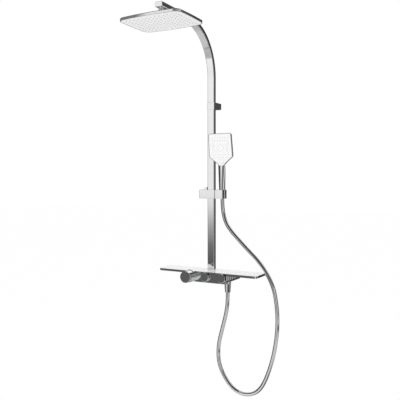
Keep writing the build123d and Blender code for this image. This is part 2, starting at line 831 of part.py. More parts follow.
print("hose radii", [round(radius) for radius in hose_radii])
hose_share = hose.part.volume / (hose_length * pi * hose_radius**2)
print("hose length", round(hose_length), "volume against section times length", round(hose_share, 4))

# ---------------------------------------------------------------- shelf
shelf_y = -shelf_front + shelf_depth / 2
shelf_back = -shelf_front + shelf_depth
tray_floor = 1.2
notch_gap = 0.5
hollow_height = shelf_thickness - glass_thickness - tray_floor
floor_z = shelf_top - glass_thickness - tray_floor
screw_places = (-35.0, 39.0)  # from the mixer's centre
shelf_screw = 2.0
boss_radius = 4.5
with BuildSketch() as shelf_plan:
    Rectangle(shelf_width, shelf_depth)
    fillet(shelf_plan.vertices().group_by(Axis.Y)[0], shelf_corner)
    fillet(shelf_plan.vertices().group_by(Axis.Y)[-1], 3.0)
    notch_depth = shelf_back - column_front + notch_gap
    with Locations((-shelf_offset, shelf_depth / 2 - notch_depth / 2)):
        Rectangle(column_width + 2 * notch_gap, notch_depth, mode=Mode.SUBTRACT)

with BuildPart() as shelf_tray:
    with BuildSketch(level(shelf_offset, shelf_y, shelf_under)):
        add(shelf_plan.sketch)
    extrude(amount=shelf_thickness)
    with BuildSketch(level(shelf_offset, shelf_y, shelf_top)):
        add(shelf_plan.sketch)
        offset(amount=-shelf_rim, mode=Mode.REPLACE)
    extrude(amount=-glass_thickness, mode=Mode.SUBTRACT)
    with BuildSketch(level(shelf_offset, shelf_y, shelf_under)):
        add(shelf_plan.sketch)
        offset(amount=-shelf_rim, mode=Mode.REPLACE)
        with Locations(*[(place, 0) for place in screw_places]):
            Circle(boss_radius, mode=Mode.SUBTRACT)
    extrude(amount=hollow_height, mode=Mode.SUBTRACT)
    with BuildSketch(level(shelf_offset, shelf_y, shelf_under)):
        with Locations(*[(place, 0) for place in screw_places]):
            Circle(shelf_screw)
    extrude(amount=hollow_height, mode=Mode.SUBTRACT)
save(shelf_tray, "shelf_tray")

with BuildPart() as shelf_glass:
    with BuildSketch(level(shelf_offset, shelf_y, shelf_top)):
        add(shelf_plan.sketch)
        offset(amount=-shelf_rim - seat_gap, mode=Mode.REPLACE)
    extrude(amount=-glass_thickness)
save(shelf_glass, "shelf_glass")

# ---------------------------------------------------------------- mixer body and its valves
valve_top = shelf_under - seat_gap
valve_low = mixer_under + 4.0
valve_front = -118.0
valve_back = -50.0
casing_half = mixer_width / 2 - side_cover
casing_corner = mixer_corner - side_cover
valve_half = casing_half - casing_wall - 1.2
barrel_radius = cartridge_radius + 2.5
valve_bore = 10.0
valve_barrel = 12.0
barrel_back = -74.0
bore_back = -80.0
tail_radius = 9.0
tail_flange = 12.4
tail_end = -40.0
tail_bore = 7.0
spindle_radius = 4.0
riser_bore = 6.0
inlet_places = (-inlet_spacing / 2, inlet_spacing / 2)

with BuildPart() as valve_body:
    with BuildSketch(level(mixer_x, (valve_front + valve_back) / 2, valve_low)):
        Rectangle(2 * valve_half, valve_back - valve_front)
    extrude(amount=valve_top - valve_low)
    fillet(valve_body.edges().filter_by(Axis.Z), 3.0)
    fillet(valve_body.edges().filter_by(Axis.Y).group_by(Axis.Z)[0], casing_corner - casing_wall)
    with BuildSketch(facing_front(0, barrel_back, control_z)):
        with Locations((knob_x, 0)):
            Circle(barrel_radius)
        with Locations((head_button_x, 0), (hand_button_x, 0)):
            Circle(valve_barrel)
    extrude(amount=barrel_back - valve_front)
    with BuildSketch(facing_front(0, bore_back, control_z)):
        with Locations((knob_x, 0)):
            Circle(cartridge_radius + fit_gap)
        with Locations((head_button_x, 0), (hand_button_x, 0)):
            Circle(valve_bore + fit_gap)
    extrude(amount=bore_back - valve_front, mode=Mode.SUBTRACT)
    with BuildSketch(facing_front(mixer_x, tail_end, inlet_z)):
        with Locations(*[(place, 0) for place in inlet_places]):
            Circle(tail_radius)
    extrude(amount=tail_end - valve_back + 1)
    with BuildSketch(facing_front(mixer_x, tail_end, inlet_z)):
        with Locations(*[(place, 0) for place in inlet_places]):
            Circle(tail_flange)
    extrude(amount=2.0)
    with BuildSketch(facing_front(mixer_x, tail_end, inlet_z)):
        with Locations(*[(place, 0) for place in inlet_places]):
            Circle(tail_bore)
    extrude(amount=28.0, mode=Mode.SUBTRACT)
    with BuildSketch(level(outlet_x, outlet_y, valve_low)):
        Circle(inlet_bore + fit_gap)
    extrude(amount=9.0, mode=Mode.SUBTRACT)
    with BuildSketch(level(0, column_y, valve_top)):
        Circle(riser_bore)
    extrude(amount=-16.0, mode=Mode.SUBTRACT)
    with BuildSketch(level(shelf_offset, shelf_y, valve_low)):
        with Locations(*[(place, 0) for place in screw_places]):
            Circle(shelf_screw + 0.3)
    extrude(amount=valve_top - valve_low, mode=Mode.SUBTRACT)
save(valve_body, "valve_body")

with BuildPart() as shelf_screws:
    with BuildSketch(level(shelf_offset, shelf_y, valve_low)):
        with Locations(*[(place, 0) for place in screw_places]):
            Circle(3.6)
    extrude(amount=-1.8)
    with BuildSketch(level(shelf_offset, shelf_y, valve_low)):
        with Locations(*[(place, 0) for place in screw_places]):
            Circle(shelf_screw - fit_gap)
    extrude(amount=shelf_under - valve_low + hollow_height - 0.5)
save(shelf_screws, "shelf_screws")

cartridge_flange = 2.5
with BuildPart() as thermostat_cartridge:
    with BuildSketch(facing_front(knob_x, bore_back - 0.3, control_z)):
        Circle(cartridge_radius)
    extrude(amount=bore_back - 0.3 - valve_front)
    with BuildSketch(facing_front(knob_x, valve_front, control_z)):
        Circle(barrel_radius - 0.6)
    extrude(amount=cartridge_flange)
    with BuildSketch(facing_front(knob_x, valve_front - cartridge_flange, control_z)):
        Circle(6.5)
    extrude(amount=8)
    with BuildSketch(facing_front(knob_x, valve_front - cartridge_flange, control_z)):
        Circle(spindle_radius)
    extrude(amount=66)
save(thermostat_cartridge, "thermostat_cartridge")

neck_end = -142.0
for valve_name, valve_x in (("head_valve", head_button_x), ("hand_valve", hand_button_x)):
    with BuildPart() as push_valve:
        with BuildSketch(facing_front(valve_x, bore_back - 0.3, control_z)):
            Circle(valve_bore)
        extrude(amount=bore_back - 0.3 - valve_front)
        with BuildSketch(facing_front(valve_x, valve_front, control_z)):
            Circle(valve_barrel - 0.5)
        extrude(amount=cartridge_flange)
        with BuildSketch(facing_front(valve_x, valve_front, control_z)):
            Circle(6.5)
        extrude(amount=valve_front - neck_end)
        with BuildSketch(facing_front(valve_x, neck_end, control_z)):
            Circle(spindle_radius + fit_gap)
        extrude(amount=-20, mode=Mode.SUBTRACT)
    save(push_valve, valve_name)

with BuildPart() as cartridge_nuts:
    with BuildSketch(facing_front(0, valve_front - cartridge_flange, control_z)):
        with Locations((knob_x, 0)):
            RegularPolygon(barrel_radius - 0.5, 6)
            Circle(6.8, mode=Mode.SUBTRACT)
        with Locations((head_button_x, 0), (hand_button_x, 0)):
            RegularPolygon(valve_barrel - 0.4, 6)
            Circle(6.8, mode=Mode.SUBTRACT)
    extrude(amount=4.5)
save(cartridge_nuts, "cartridge_nuts")

with BuildPart() as hose_outlet:
    with BuildSketch(level(outlet_x, outlet_y, valve_low)):
        Circle(inlet_bore)
    extrude(amount=8.5)
    with BuildSketch(level(outlet_x, outlet_y, valve_low)):
        Circle(inlet_thread)
    extrude(amount=nipple_end - valve_low)
    with BuildSketch(level(outlet_x, outlet_y, mixer_under - seat_gap)):
        Circle(outlet_flange)
    extrude(amount=-outlet_flange_thickness)
    with BuildSketch(level(outlet_x, outlet_y, nipple_end)):
        Circle(hose_bore)
    extrude(amount=60, mode=Mode.SUBTRACT)
save(hose_outlet, "hose_outlet")

# ---------------------------------------------------------------- riser's foot
foot_height = 34.0
with BuildPart() as riser_spigot:
    with BuildSketch(level(0, column_y, valve_top)):
        RectangleRounded(
            bore_width - 2 * spigot_gap, bore_depth - 2 * spigot_gap, bore_corner - spigot_gap
        )
    extrude(amount=foot_height)
    with BuildSketch(level(0, column_y, valve_top)):
        Circle(riser_bore - 1.5)
    extrude(amount=foot_height, mode=Mode.SUBTRACT)
save(riser_spigot, "riser_spigot")

# ---------------------------------------------------------------- wall connections
union_radius = 14.75
collar_y = -24.0
union_end = -27.0
with BuildPart() as eccentric_unions:
    with BuildSketch(facing_front(mixer_x, collar_y, inlet_z)):
        with Locations(*[(place, 0) for place in inlet_places]):
            Circle(union_thread)
    extrude(amount=collar_y - tail_end - 2.0)
    with BuildSketch(facing_front(mixer_x, collar_y, inlet_z)):
        with Locations(*[(place, 0) for place in inlet_places]):
            RegularPolygon(union_radius, 6)
    extrude(amount=-6)
    with BuildSketch(facing_front(mixer_x, wall_thread_length, inlet_z - union_offset)):
        with Locations(*[(place, 0) for place in inlet_places]):
            Circle(inlet_thread)
    extrude(amount=wall_thread_length)
    with BuildSketch(facing_front(mixer_x, 0, inlet_z - union_offset)):
        with Locations(*[(place, 0) for place in inlet_places]):
            Circle(inlet_thread - 0.6)
    extrude(amount=-collar_y - 3)
    with BuildSketch(facing_front(mixer_x, collar_y + 6, inlet_z)):
        with Locations(*[(place, 0) for place in inlet_places]):
            Circle(tail_bore)
    extrude(amount=40, mode=Mode.SUBTRACT)
    with BuildSketch(facing_front(mixer_x, wall_thread_length, inlet_z - union_offset)):
        with Locations(*[(place, 0) for place in inlet_places]):
            Circle(tail_bore)
    extrude(amount=wall_thread_length - collar_y, mode=Mode.SUBTRACT)
save(eccentric_unions, "eccentric_unions")

with BuildPart() as union_nuts:
    with BuildSketch(facing_front(mixer_x, union_end, inlet_z)):
        with Locations(*[(place, 0) for place in inlet_places]):
            Circle(union_radius)
            Circle(union_thread + fit_gap, mode=Mode.SUBTRACT)
    extrude(amount=union_end - tail_end + 2.2)
    with BuildSketch(facing_front(mixer_x, tail_end - 2.2, inlet_z)):
        with Locations(*[(place, 0) for place in inlet_places]):
            Circle(union_radius)
            Circle(tail_radius + 0.4, mode=Mode.SUBTRACT)
    extrude(amount=4.0)
save(union_nuts, "union_nuts")

with BuildPart() as inlet_filters:
    with BuildSketch(facing_front(mixer_x, tail_end + 2.0, inlet_z)):
        with Locations(*[(place, 0) for place in inlet_places]):
            Circle(tail_flange)
            Circle(tail_bore - 2, mode=Mode.SUBTRACT)
    extrude(amount=2.0)
save(inlet_filters, "inlet_filters")

with BuildPart() as check_valves:
    with BuildSketch(facing_front(mixer_x, tail_end - 2, inlet_z)):
        with Locations(*[(place, 0) for place in inlet_places]):
            Circle(tail_bore - fit_gap)
            Circle(3.0, mode=Mode.SUBTRACT)
    extrude(amount=14.0)
save(check_valves, "check_valves")

# ---------------------------------------------------------------- mixer housing
casing_back = -seat_gap
casing_height = valve_top - mixer_under
casing_z = (valve_top + mixer_under) / 2
roof_front = shelf_back + seat_gap
stem_hole = spindle_radius + 1.0
plate_height = shelf_under - mixer_under - seat_gap
plate_z_mid = mixer_under + plate_height / 2

with BuildPart() as front_plate:
    with BuildSketch(facing_front(mixer_x, plate_back, plate_z_mid)) as plate_plan:
        Rectangle(mixer_width, plate_height)
        fillet(plate_plan.vertices().group_by(Axis.Y)[0], mixer_corner)
    extrude(amount=front_plate_thickness)
    with BuildSketch(facing_front(0, plate_back, control_z)):
        with Locations((knob_x, 0), (head_button_x, 0), (hand_button_x, 0)):
            Circle(stem_hole)
    extrude(amount=front_plate_thickness, mode=Mode.SUBTRACT)
save(front_plate, "front_plate")

with BuildPart() as casing:
    with BuildSketch(facing_front(mixer_x, casing_back, casing_z)) as casing_plan:
        Rectangle(2 * casing_half, casing_height)
        fillet(casing_plan.vertices().group_by(Axis.Y)[0], casing_corner)
    extrude(amount=casing_back - plate_back)
    with BuildSketch(facing_front(mixer_x, casing_back, casing_z)) as casing_bore:
        Rectangle(2 * (casing_half - casing_wall), casing_height - 2 * casing_wall)
        fillet(casing_bore.vertices().group_by(Axis.Y)[0], casing_corner - casing_wall)
    extrude(amount=casing_back - plate_back, mode=Mode.SUBTRACT)
    with BuildSketch(facing_front(mixer_x, roof_front, valve_top)):
        Rectangle(2 * (casing_half - casing_wall), 4 * casing_wall)
    extrude(amount=roof_front - plate_back, mode=Mode.SUBTRACT)
    with BuildSketch(level(outlet_x, outlet_y, mixer_under)):
        Circle(inlet_thread + 0.3)
    extrude(amount=casing_corner, mode=Mode.SUBTRACT)
save(casing, "casing")

cover_base = 1.8
flute_depth = side_cover - cover_base
cover_front = plate_back + 0.1
cover_back = casing_back - 3.0
cover_length = cover_back - cover_front
cover_low = mixer_under + mixer_corner
flute_width = flute_pitch - 1.6
flute_radius = (flute_width**2 / 4 + flute_depth**2) / (2 * flute_depth)
flute_count = int(cover_length // flute_pitch)
with BuildSketch() as cover_plan:
    with Locations((flute_depth - flute_radius, 0)):
        with GridLocations(1, flute_pitch, 1, flute_count):
            Circle(flute_radius)
    with Locations((flute_depth / 2, 0)):
        Rectangle(flute_depth, cover_length, mode=Mode.INTERSECT)
    with Locations((-cover_base / 2, 0)):
        Rectangle(cover_base, cover_length)

cover_y = (cover_front + cover_back) / 2
with BuildPart() as side_cover_right:
    with BuildSketch(level(mixer_right - flute_depth, cover_y, cover_low)):
        add(cover_plan.sketch)
    extrude(amount=valve_top - cover_low)
save(side_cover_right, "side_cover_right")

with BuildPart() as side_cover_left:
    with BuildSketch(level(mixer_left + flute_depth, cover_y, cover_low)):
        add(cover_plan.sketch, rotation=180)
    extrude(amount=valve_top - cover_low)
save(side_cover_left, "side_cover_left")

# ---------------------------------------------------------------- knob and buttons
ring_back = front_y - seat_gap
ring_front = ring_back - knob_ring_length
knob_back = ring_front - seat_gap
knob_front = knob_back - knob_length
cap_inset = 1.6
cap_thickness = 2.2
safety_width = 8.0
safety_length = 12.0
safety_travel = 2.0
safety_y = knob_front + 12.0
safety_low = control_z + 18.6
with BuildPart() as knob_ring:
    with BuildSketch(facing_front(knob_x, ring_back, control_z)):
        Circle(knob_ring_radius)
        Circle(stem_hole + 2, mode=Mode.SUBTRACT)
    extrude(amount=knob_ring_length)
    fillet(knob_ring.edges().group_by(Axis.Y)[0].sort_by(SortBy.LENGTH)[-1], 1.2)
save(knob_ring, "knob_ring")

with BuildPart() as thermostat_knob:
    with BuildSketch(facing_front(knob_x, knob_back, control_z)):
        Circle(knob_radius)
    extrude(amount=knob_length)
    fillet(thermostat_knob.edges().group_by(Axis.Y)[0], 1.2)
    with BuildSketch(facing_front(knob_x, knob_front + cap_inset, control_z)):
        Circle(knob_radius - 2.0)
    extrude(amount=cap_inset, mode=Mode.SUBTRACT)
    with BuildSketch(facing_front(knob_x, knob_back, control_z)):
        Circle(spindle_radius + fit_gap)
    extrude(amount=knob_length - 8, mode=Mode.SUBTRACT)
    with BuildSketch(level(knob_x, safety_y, safety_low - safety_travel - 0.6)):
        RectangleRounded(safety_width + 2 * slide_gap, safety_length + 2 * slide_gap, 3.0)
    extrude(amount=20, mode=Mode.SUBTRACT)
save(thermostat_knob, "thermostat_knob")

with BuildPart() as knob_cap:
    with BuildSketch(facing_front(knob_x, knob_front + cap_inset, control_z)):
        Circle(knob_radius - 2.0 - seat_gap)
    extrude(amount=cap_thickness)
    fillet(knob_cap.edges().group_by(Axis.Y)[0], 0.5)
save(knob_cap, "knob_cap")

with BuildPart() as safety_button:
    with BuildSketch(level(knob_x, safety_y, safety_low)):
        RectangleRounded(safety_width, safety_length, 2.7)
    extrude(amount=control_z + knob_radius + 1.6 - safety_low)
    fillet(safety_button.edges().group_by(Axis.Z)[-1], 0.7)
save(safety_button, "safety_button")

button_back = front_y - seat_gap - button_travel
button_stem_end = -131.0
for button_name, button_x in (("head_button", head_button_x), ("hand_button", hand_button_x)):
    with BuildPart() as push_button:
        with BuildSketch(facing_front(button_x, button_back, control_z)):
            Circle(button_radius)
        extrude(amount=button_length)
        fillet(push_button.edges().group_by(Axis.Y)[0], 1.4)
        with BuildSketch(facing_front(button_x, button_stem_end, control_z)):
            Circle(spindle_radius)
        extrude(amount=button_stem_end - button_back)
    save(push_button, button_name)
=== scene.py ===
"""Dresses the thermostatic shower column in Blender: finishes, hose, spray nozzles and studio."""

import json
import logging
import math
from dataclasses import dataclass, field
from enum import Enum
from typing import Any, Iterable, Optional, Sequence

import bmesh
import bpy
from mathutils import Matrix, Vector
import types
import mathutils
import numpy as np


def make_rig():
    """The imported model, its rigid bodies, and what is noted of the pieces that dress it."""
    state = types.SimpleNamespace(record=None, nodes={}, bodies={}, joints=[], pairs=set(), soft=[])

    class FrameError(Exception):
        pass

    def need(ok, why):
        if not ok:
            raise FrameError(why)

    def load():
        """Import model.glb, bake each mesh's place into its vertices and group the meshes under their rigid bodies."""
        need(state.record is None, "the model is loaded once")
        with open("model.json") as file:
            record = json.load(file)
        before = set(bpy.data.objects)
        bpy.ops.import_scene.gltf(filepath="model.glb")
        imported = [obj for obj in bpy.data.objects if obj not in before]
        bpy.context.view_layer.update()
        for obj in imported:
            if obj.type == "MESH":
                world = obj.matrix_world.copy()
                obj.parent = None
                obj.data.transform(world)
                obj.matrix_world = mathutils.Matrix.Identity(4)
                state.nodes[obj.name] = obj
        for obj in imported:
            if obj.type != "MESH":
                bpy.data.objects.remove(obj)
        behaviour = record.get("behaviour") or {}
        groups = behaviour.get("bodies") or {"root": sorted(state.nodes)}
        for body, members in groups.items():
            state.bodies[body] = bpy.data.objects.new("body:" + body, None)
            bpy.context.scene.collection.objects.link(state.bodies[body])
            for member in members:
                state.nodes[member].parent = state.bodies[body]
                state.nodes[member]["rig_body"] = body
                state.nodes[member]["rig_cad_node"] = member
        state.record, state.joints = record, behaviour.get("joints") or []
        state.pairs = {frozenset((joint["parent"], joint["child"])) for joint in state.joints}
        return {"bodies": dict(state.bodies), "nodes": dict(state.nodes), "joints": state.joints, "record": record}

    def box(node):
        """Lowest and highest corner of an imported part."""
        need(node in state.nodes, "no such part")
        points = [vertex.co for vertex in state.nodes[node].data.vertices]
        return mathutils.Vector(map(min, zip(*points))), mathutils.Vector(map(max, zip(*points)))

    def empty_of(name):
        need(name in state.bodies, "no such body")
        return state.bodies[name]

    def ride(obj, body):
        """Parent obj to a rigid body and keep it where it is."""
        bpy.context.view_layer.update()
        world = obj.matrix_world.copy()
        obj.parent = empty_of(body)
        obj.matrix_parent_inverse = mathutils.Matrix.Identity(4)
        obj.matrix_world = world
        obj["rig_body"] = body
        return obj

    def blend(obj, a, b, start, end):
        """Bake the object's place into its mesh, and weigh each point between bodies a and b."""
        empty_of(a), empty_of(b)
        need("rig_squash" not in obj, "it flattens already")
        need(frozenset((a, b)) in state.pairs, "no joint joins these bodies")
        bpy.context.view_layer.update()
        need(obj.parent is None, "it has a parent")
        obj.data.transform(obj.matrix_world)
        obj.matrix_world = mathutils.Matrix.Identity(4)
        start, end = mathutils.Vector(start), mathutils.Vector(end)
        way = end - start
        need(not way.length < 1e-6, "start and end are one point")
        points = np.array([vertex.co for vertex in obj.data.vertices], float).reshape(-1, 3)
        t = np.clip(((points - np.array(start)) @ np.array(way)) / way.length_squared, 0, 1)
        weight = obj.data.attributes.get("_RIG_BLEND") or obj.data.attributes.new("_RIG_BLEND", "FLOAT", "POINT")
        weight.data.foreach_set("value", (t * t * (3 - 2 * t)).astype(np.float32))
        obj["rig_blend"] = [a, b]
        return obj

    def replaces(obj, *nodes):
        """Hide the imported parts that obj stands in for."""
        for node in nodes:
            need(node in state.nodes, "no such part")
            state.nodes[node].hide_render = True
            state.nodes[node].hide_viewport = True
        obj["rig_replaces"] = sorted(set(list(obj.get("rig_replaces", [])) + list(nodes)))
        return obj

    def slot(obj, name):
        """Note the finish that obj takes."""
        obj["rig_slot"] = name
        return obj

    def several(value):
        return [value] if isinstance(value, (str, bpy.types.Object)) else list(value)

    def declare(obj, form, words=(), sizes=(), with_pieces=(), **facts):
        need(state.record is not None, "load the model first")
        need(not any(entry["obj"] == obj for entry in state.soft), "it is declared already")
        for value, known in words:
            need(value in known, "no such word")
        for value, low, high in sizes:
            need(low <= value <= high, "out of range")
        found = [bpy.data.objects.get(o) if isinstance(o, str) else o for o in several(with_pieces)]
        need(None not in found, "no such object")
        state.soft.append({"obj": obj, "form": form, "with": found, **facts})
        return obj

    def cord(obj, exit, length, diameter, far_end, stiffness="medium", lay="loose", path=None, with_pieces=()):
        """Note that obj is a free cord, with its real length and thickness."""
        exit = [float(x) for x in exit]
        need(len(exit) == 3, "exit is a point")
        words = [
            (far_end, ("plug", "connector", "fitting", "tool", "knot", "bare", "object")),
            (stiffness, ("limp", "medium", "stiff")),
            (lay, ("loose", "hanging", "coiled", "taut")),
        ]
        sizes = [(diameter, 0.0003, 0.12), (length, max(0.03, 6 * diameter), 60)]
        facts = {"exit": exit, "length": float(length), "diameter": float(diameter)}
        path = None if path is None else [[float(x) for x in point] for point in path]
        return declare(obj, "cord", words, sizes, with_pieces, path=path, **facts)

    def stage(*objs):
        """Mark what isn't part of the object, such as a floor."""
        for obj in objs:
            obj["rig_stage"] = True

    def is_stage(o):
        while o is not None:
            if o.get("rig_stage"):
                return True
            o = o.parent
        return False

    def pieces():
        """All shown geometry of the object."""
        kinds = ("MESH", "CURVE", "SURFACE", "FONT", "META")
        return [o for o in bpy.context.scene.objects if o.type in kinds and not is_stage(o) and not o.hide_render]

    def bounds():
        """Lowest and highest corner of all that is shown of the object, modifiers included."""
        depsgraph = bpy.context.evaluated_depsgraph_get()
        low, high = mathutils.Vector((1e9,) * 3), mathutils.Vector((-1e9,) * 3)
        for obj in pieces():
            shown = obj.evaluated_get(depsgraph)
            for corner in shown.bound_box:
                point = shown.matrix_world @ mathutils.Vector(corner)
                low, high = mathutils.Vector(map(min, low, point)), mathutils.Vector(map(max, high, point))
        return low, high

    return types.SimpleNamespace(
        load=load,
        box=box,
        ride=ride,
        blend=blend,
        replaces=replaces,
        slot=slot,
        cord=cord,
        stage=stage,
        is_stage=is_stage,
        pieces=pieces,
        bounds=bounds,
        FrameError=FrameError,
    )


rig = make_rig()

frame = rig.load()
CAD_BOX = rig.bounds()
LOG = logging.getLogger("shower_column")
Colour = tuple[float, float, float]
Place = tuple[float, float, float]
Stops = tuple[tuple[float, float], ...]


class Body(Enum):
    """The moving groups that the scene's own pieces ride on."""

    COLUMN = "column"
    SLIDER = "slider"
    HOLDER = "holder"
    RAIN_HEAD = "rain_head"
    HANDSET = "handset"


class Slot(Enum):
    """The record's material slots that the scene's own pieces take."""

    GREY_RUBBER = "grey_rubber"
    SILVER_HOSE = "silver_hose"


def placed(name: str, data: bpy.types.ID) -> bpy.types.Object:
    """Puts a mesh, curve, lamp or camera into the scene, at the origin.

    Args:
        name: the object's name.
        data: what the object shows.

    Returns:
        The object.
    """
    item = bpy.data.objects.new(name, data)
    bpy.context.scene.collection.objects.link(item)
    return item


def as_object(name: str, shape: bmesh.types.BMesh) -> bpy.types.Object:
    """Turns a finished shape into an object at the origin and frees the shape.

    Args:
        name: the name of the object and its mesh.
        shape: the shape, already in its place.

    Returns:
        The object.
    """
    mesh = bpy.data.meshes.new(name)
    shape.to_mesh(mesh)
    shape.free()
    return placed(name, mesh)


class ShaderGraph:
    """Builds one node tree: it adds nodes, sets their sockets and links them."""

    spacing = 190

    def __init__(self, tree: bpy.types.NodeTree) -> None:
        """Wraps a tree.

        Args:
            tree: the node tree to build in.
        """
        self.tree = tree
        self.column = 0

    @classmethod
    def of_material(cls, name: str) -> tuple[bpy.types.Material, "ShaderGraph"]:
        """Starts an empty material.

        Args:
            name: the material's name.

        Returns:
            The material and its graph.
        """
        material = bpy.data.materials.new(name)
        material.use_nodes = True
        material.node_tree.nodes.clear()
        return material, cls(material.node_tree)

    def link(self, output: bpy.types.NodeSocket, socket: bpy.types.NodeSocket) -> None:
        """Links an output to an input socket."""
        self.tree.links.new(output, socket)

    def add(self, kind: str, sockets: Optional[dict[Any, Any]] = None, **settings: Any) -> bpy.types.Node:
        """Adds a node.

        Args:
            kind: the node's type name.
            sockets: input socket names or numbers, each with a value or an output to link from.
            **settings: attributes of the node itself.

        Returns:
            The new node.
        """
        node = self.tree.nodes.new(kind)
        self.column += self.spacing
        node.location = (self.column, 0)
        for name, value in settings.items():
            setattr(node, name, value)
        for name, value in (sockets or {}).items():
            if isinstance(value, bpy.types.NodeSocket):
                self.link(value, node.inputs[name])
            else:
                node.inputs[name].default_value = value
        return node

    def math(self, operation: str, *values: Any, clamp: bool = False) -> bpy.types.NodeSocket:
        """Adds a Math node.

        Args:
            operation: the node's operation.
            *values: its inputs, numbers or outputs to link from.
            clamp: whether the result is held between 0 and 1.

        Returns:
            The node's output.
        """
        node = self.add("ShaderNodeMath", dict(enumerate(values)), operation=operation, use_clamp=clamp)
        return node.outputs[0]

    def ramp(self, factor: bpy.types.NodeSocket, stops: Stops) -> bpy.types.NodeSocket:
        """Adds a grey colour ramp.

        Args:
            factor: the output that drives it.
            stops: pairs of position and grey level, lowest position first.

        Returns:
            The ramp's colour output.
        """
        node = self.add("ShaderNodeValToRGB", {"Fac": factor})
        elements = node.color_ramp.elements
        while len(elements) < len(stops):
            elements.new(0.5)
        for element, (place, grey) in zip(elements, stops):
            element.position = place
            element.color = (grey, grey, grey, 1.0)
        return node.outputs["Color"]


class EffectGroup:
    """A shared shader effect, kept as one node group."""

    title = "effect"
    inputs: tuple[tuple[str, float], ...] = ()
    outputs: tuple[str, ...] = ("Value",)

    def __init__(self) -> None:
        """Makes the group's sockets and its nodes."""
        self.group = bpy.data.node_groups.new(self.title, "ShaderNodeTree")
        for name, value in self.inputs:
            socket = self.group.interface.new_socket(name, in_out="INPUT", socket_type="NodeSocketFloat")
            socket.default_value = value
        for name in self.outputs:
            self.group.interface.new_socket(name, in_out="OUTPUT", socket_type="NodeSocketFloat")
        self.graph = ShaderGraph(self.group)
        self.source = self.graph.add("NodeGroupInput")
        results = self.draw()
        self.graph.add("NodeGroupOutput", dict(zip(self.outputs, results)))

    def draw(self) -> Sequence[bpy.types.NodeSocket]:
        """Draws the effect.

        Returns:
            One output for each of the group's outputs.
        """
        raise NotImplementedError

    def between(self, share: bpy.types.NodeSocket) -> bpy.types.NodeSocket:
        """Goes from the group's Low input to its High one.

        Args:
            share: how far to go, from 0 to 1.

        Returns:
            The value reached.
        """
        low = self.source.outputs["Low"]
        wide = self.graph.math("SUBTRACT", self.source.outputs["High"], low)
        return self.graph.math("MULTIPLY_ADD", share, wide, low, clamp=True)

    def place(self, graph: ShaderGraph, **values: float) -> bpy.types.Node:
        """Places the group in a material.

        Args:
            graph: the material's graph.
            **values: values for the group's inputs, by name.

        Returns:
            The group's node.
        """
        return graph.add("ShaderNodeGroup", values, node_tree=self.group)


class WipeMarks(EffectGroup):
    """Faint cloudy wipe marks and dried droplets, as a polished surface in use has them.

    A droplet is a spot_size share of its cell, and shows only where the clouds are over spot_share.
    """

    title = "wipe_marks"
    inputs = (("Scale", 18.0), ("Spots", 260.0), ("Low", 0.05), ("High", 0.12), ("Relief", 0.05))
    outputs = ("Roughness", "Height")
    spot_size = 0.13
    spot_share = 0.56
    spot_roughness = 0.06

    def draw(self) -> Sequence[bpy.types.NodeSocket]:
        """Draws clouds of roughness with sparse round spots on them.

        Returns:
            The roughness and a height for a bump.
        """
        graph, source = self.graph, self.source
        place = graph.add("ShaderNodeTexCoord").outputs["Object"]
        clouds = graph.add(
            "ShaderNodeTexNoise",
            {"Vector": place, "Scale": source.outputs["Scale"], "Detail": 4.0, "Roughness": 0.6},
        )
        cells = graph.add("ShaderNodeTexVoronoi", {"Vector": place, "Scale": source.outputs["Spots"]})
        dots = graph.math("LESS_THAN", cells.outputs["Distance"], self.spot_size)
        patchy = graph.math("GREATER_THAN", clouds.outputs["Fac"], self.spot_share)
        spots = graph.math("MULTIPLY", dots, patchy)
        soft = self.between(clouds.outputs["Fac"])
        rough = graph.math("MULTIPLY_ADD", spots, self.spot_roughness, soft, clamp=True)
        height = graph.math("MULTIPLY", clouds.outputs["Fac"], source.outputs["Relief"])
        return rough, height


class TurnedLines(EffectGroup):
    """Fine tool lines round an axis or along one, as on turned and brushed metal."""

    title = "turned_lines"
    inputs = (("Pitch", 900.0), ("Low", 0.2), ("High", 0.4))
    outputs = ("Roughness", "Height")
    stretch = (0.04, 1.0, 0.04)

    def draw(self) -> Sequence[bpy.types.NodeSocket]:
        """Draws noise stretched into lines across the depth of the piece.

        Returns:
            The roughness and a height for a bump.
        """
        graph, source = self.graph, self.source
        place = graph.add("ShaderNodeTexCoord").outputs["Object"]
        stretched = graph.add("ShaderNodeMapping", {"Vector": place, "Scale": self.stretch})
        lines = graph.add(
            "ShaderNodeTexNoise",
            {"Vector": stretched.outputs["Vector"], "Scale": source.outputs["Pitch"], "Detail": 2.0},
        )
        return self.between(lines.outputs["Fac"]), lines.outputs["Fac"]


class FineGrain(EffectGroup):
    """The fine grain of moulded plastic and rubber, with a slow drift of tone."""

    title = "fine_grain"
    inputs = (("Grain", 1400.0), ("Drift", 9.0), ("Low", 0.3), ("High", 0.45))
    outputs = ("Roughness", "Height", "Tone")

    def draw(self) -> Sequence[bpy.types.NodeSocket]:
        """Draws a fine noise for the grain and a slow one for the tone.

        Returns:
            The roughness, a height for a bump and the tone.
        """
        graph, source = self.graph, self.source
        place = graph.add("ShaderNodeTexCoord").outputs["Object"]
        grain = graph.add(
            "ShaderNodeTexNoise", {"Vector": place, "Scale": source.outputs["Grain"], "Detail": 2.0}
        )
        drift = graph.add(
            "ShaderNodeTexNoise", {"Vector": place, "Scale": source.outputs["Drift"], "Detail": 3.0}
        )
        return self.between(drift.outputs["Fac"]), grain.outputs["Fac"], drift.outputs["Fac"]


class Effects:
    """The shader effects that several finishes share."""

    def __init__(self) -> None:
        """Builds each group once."""
        self.wipe_marks = WipeMarks()
        self.turned_lines = TurnedLines()
        self.fine_grain = FineGrain()


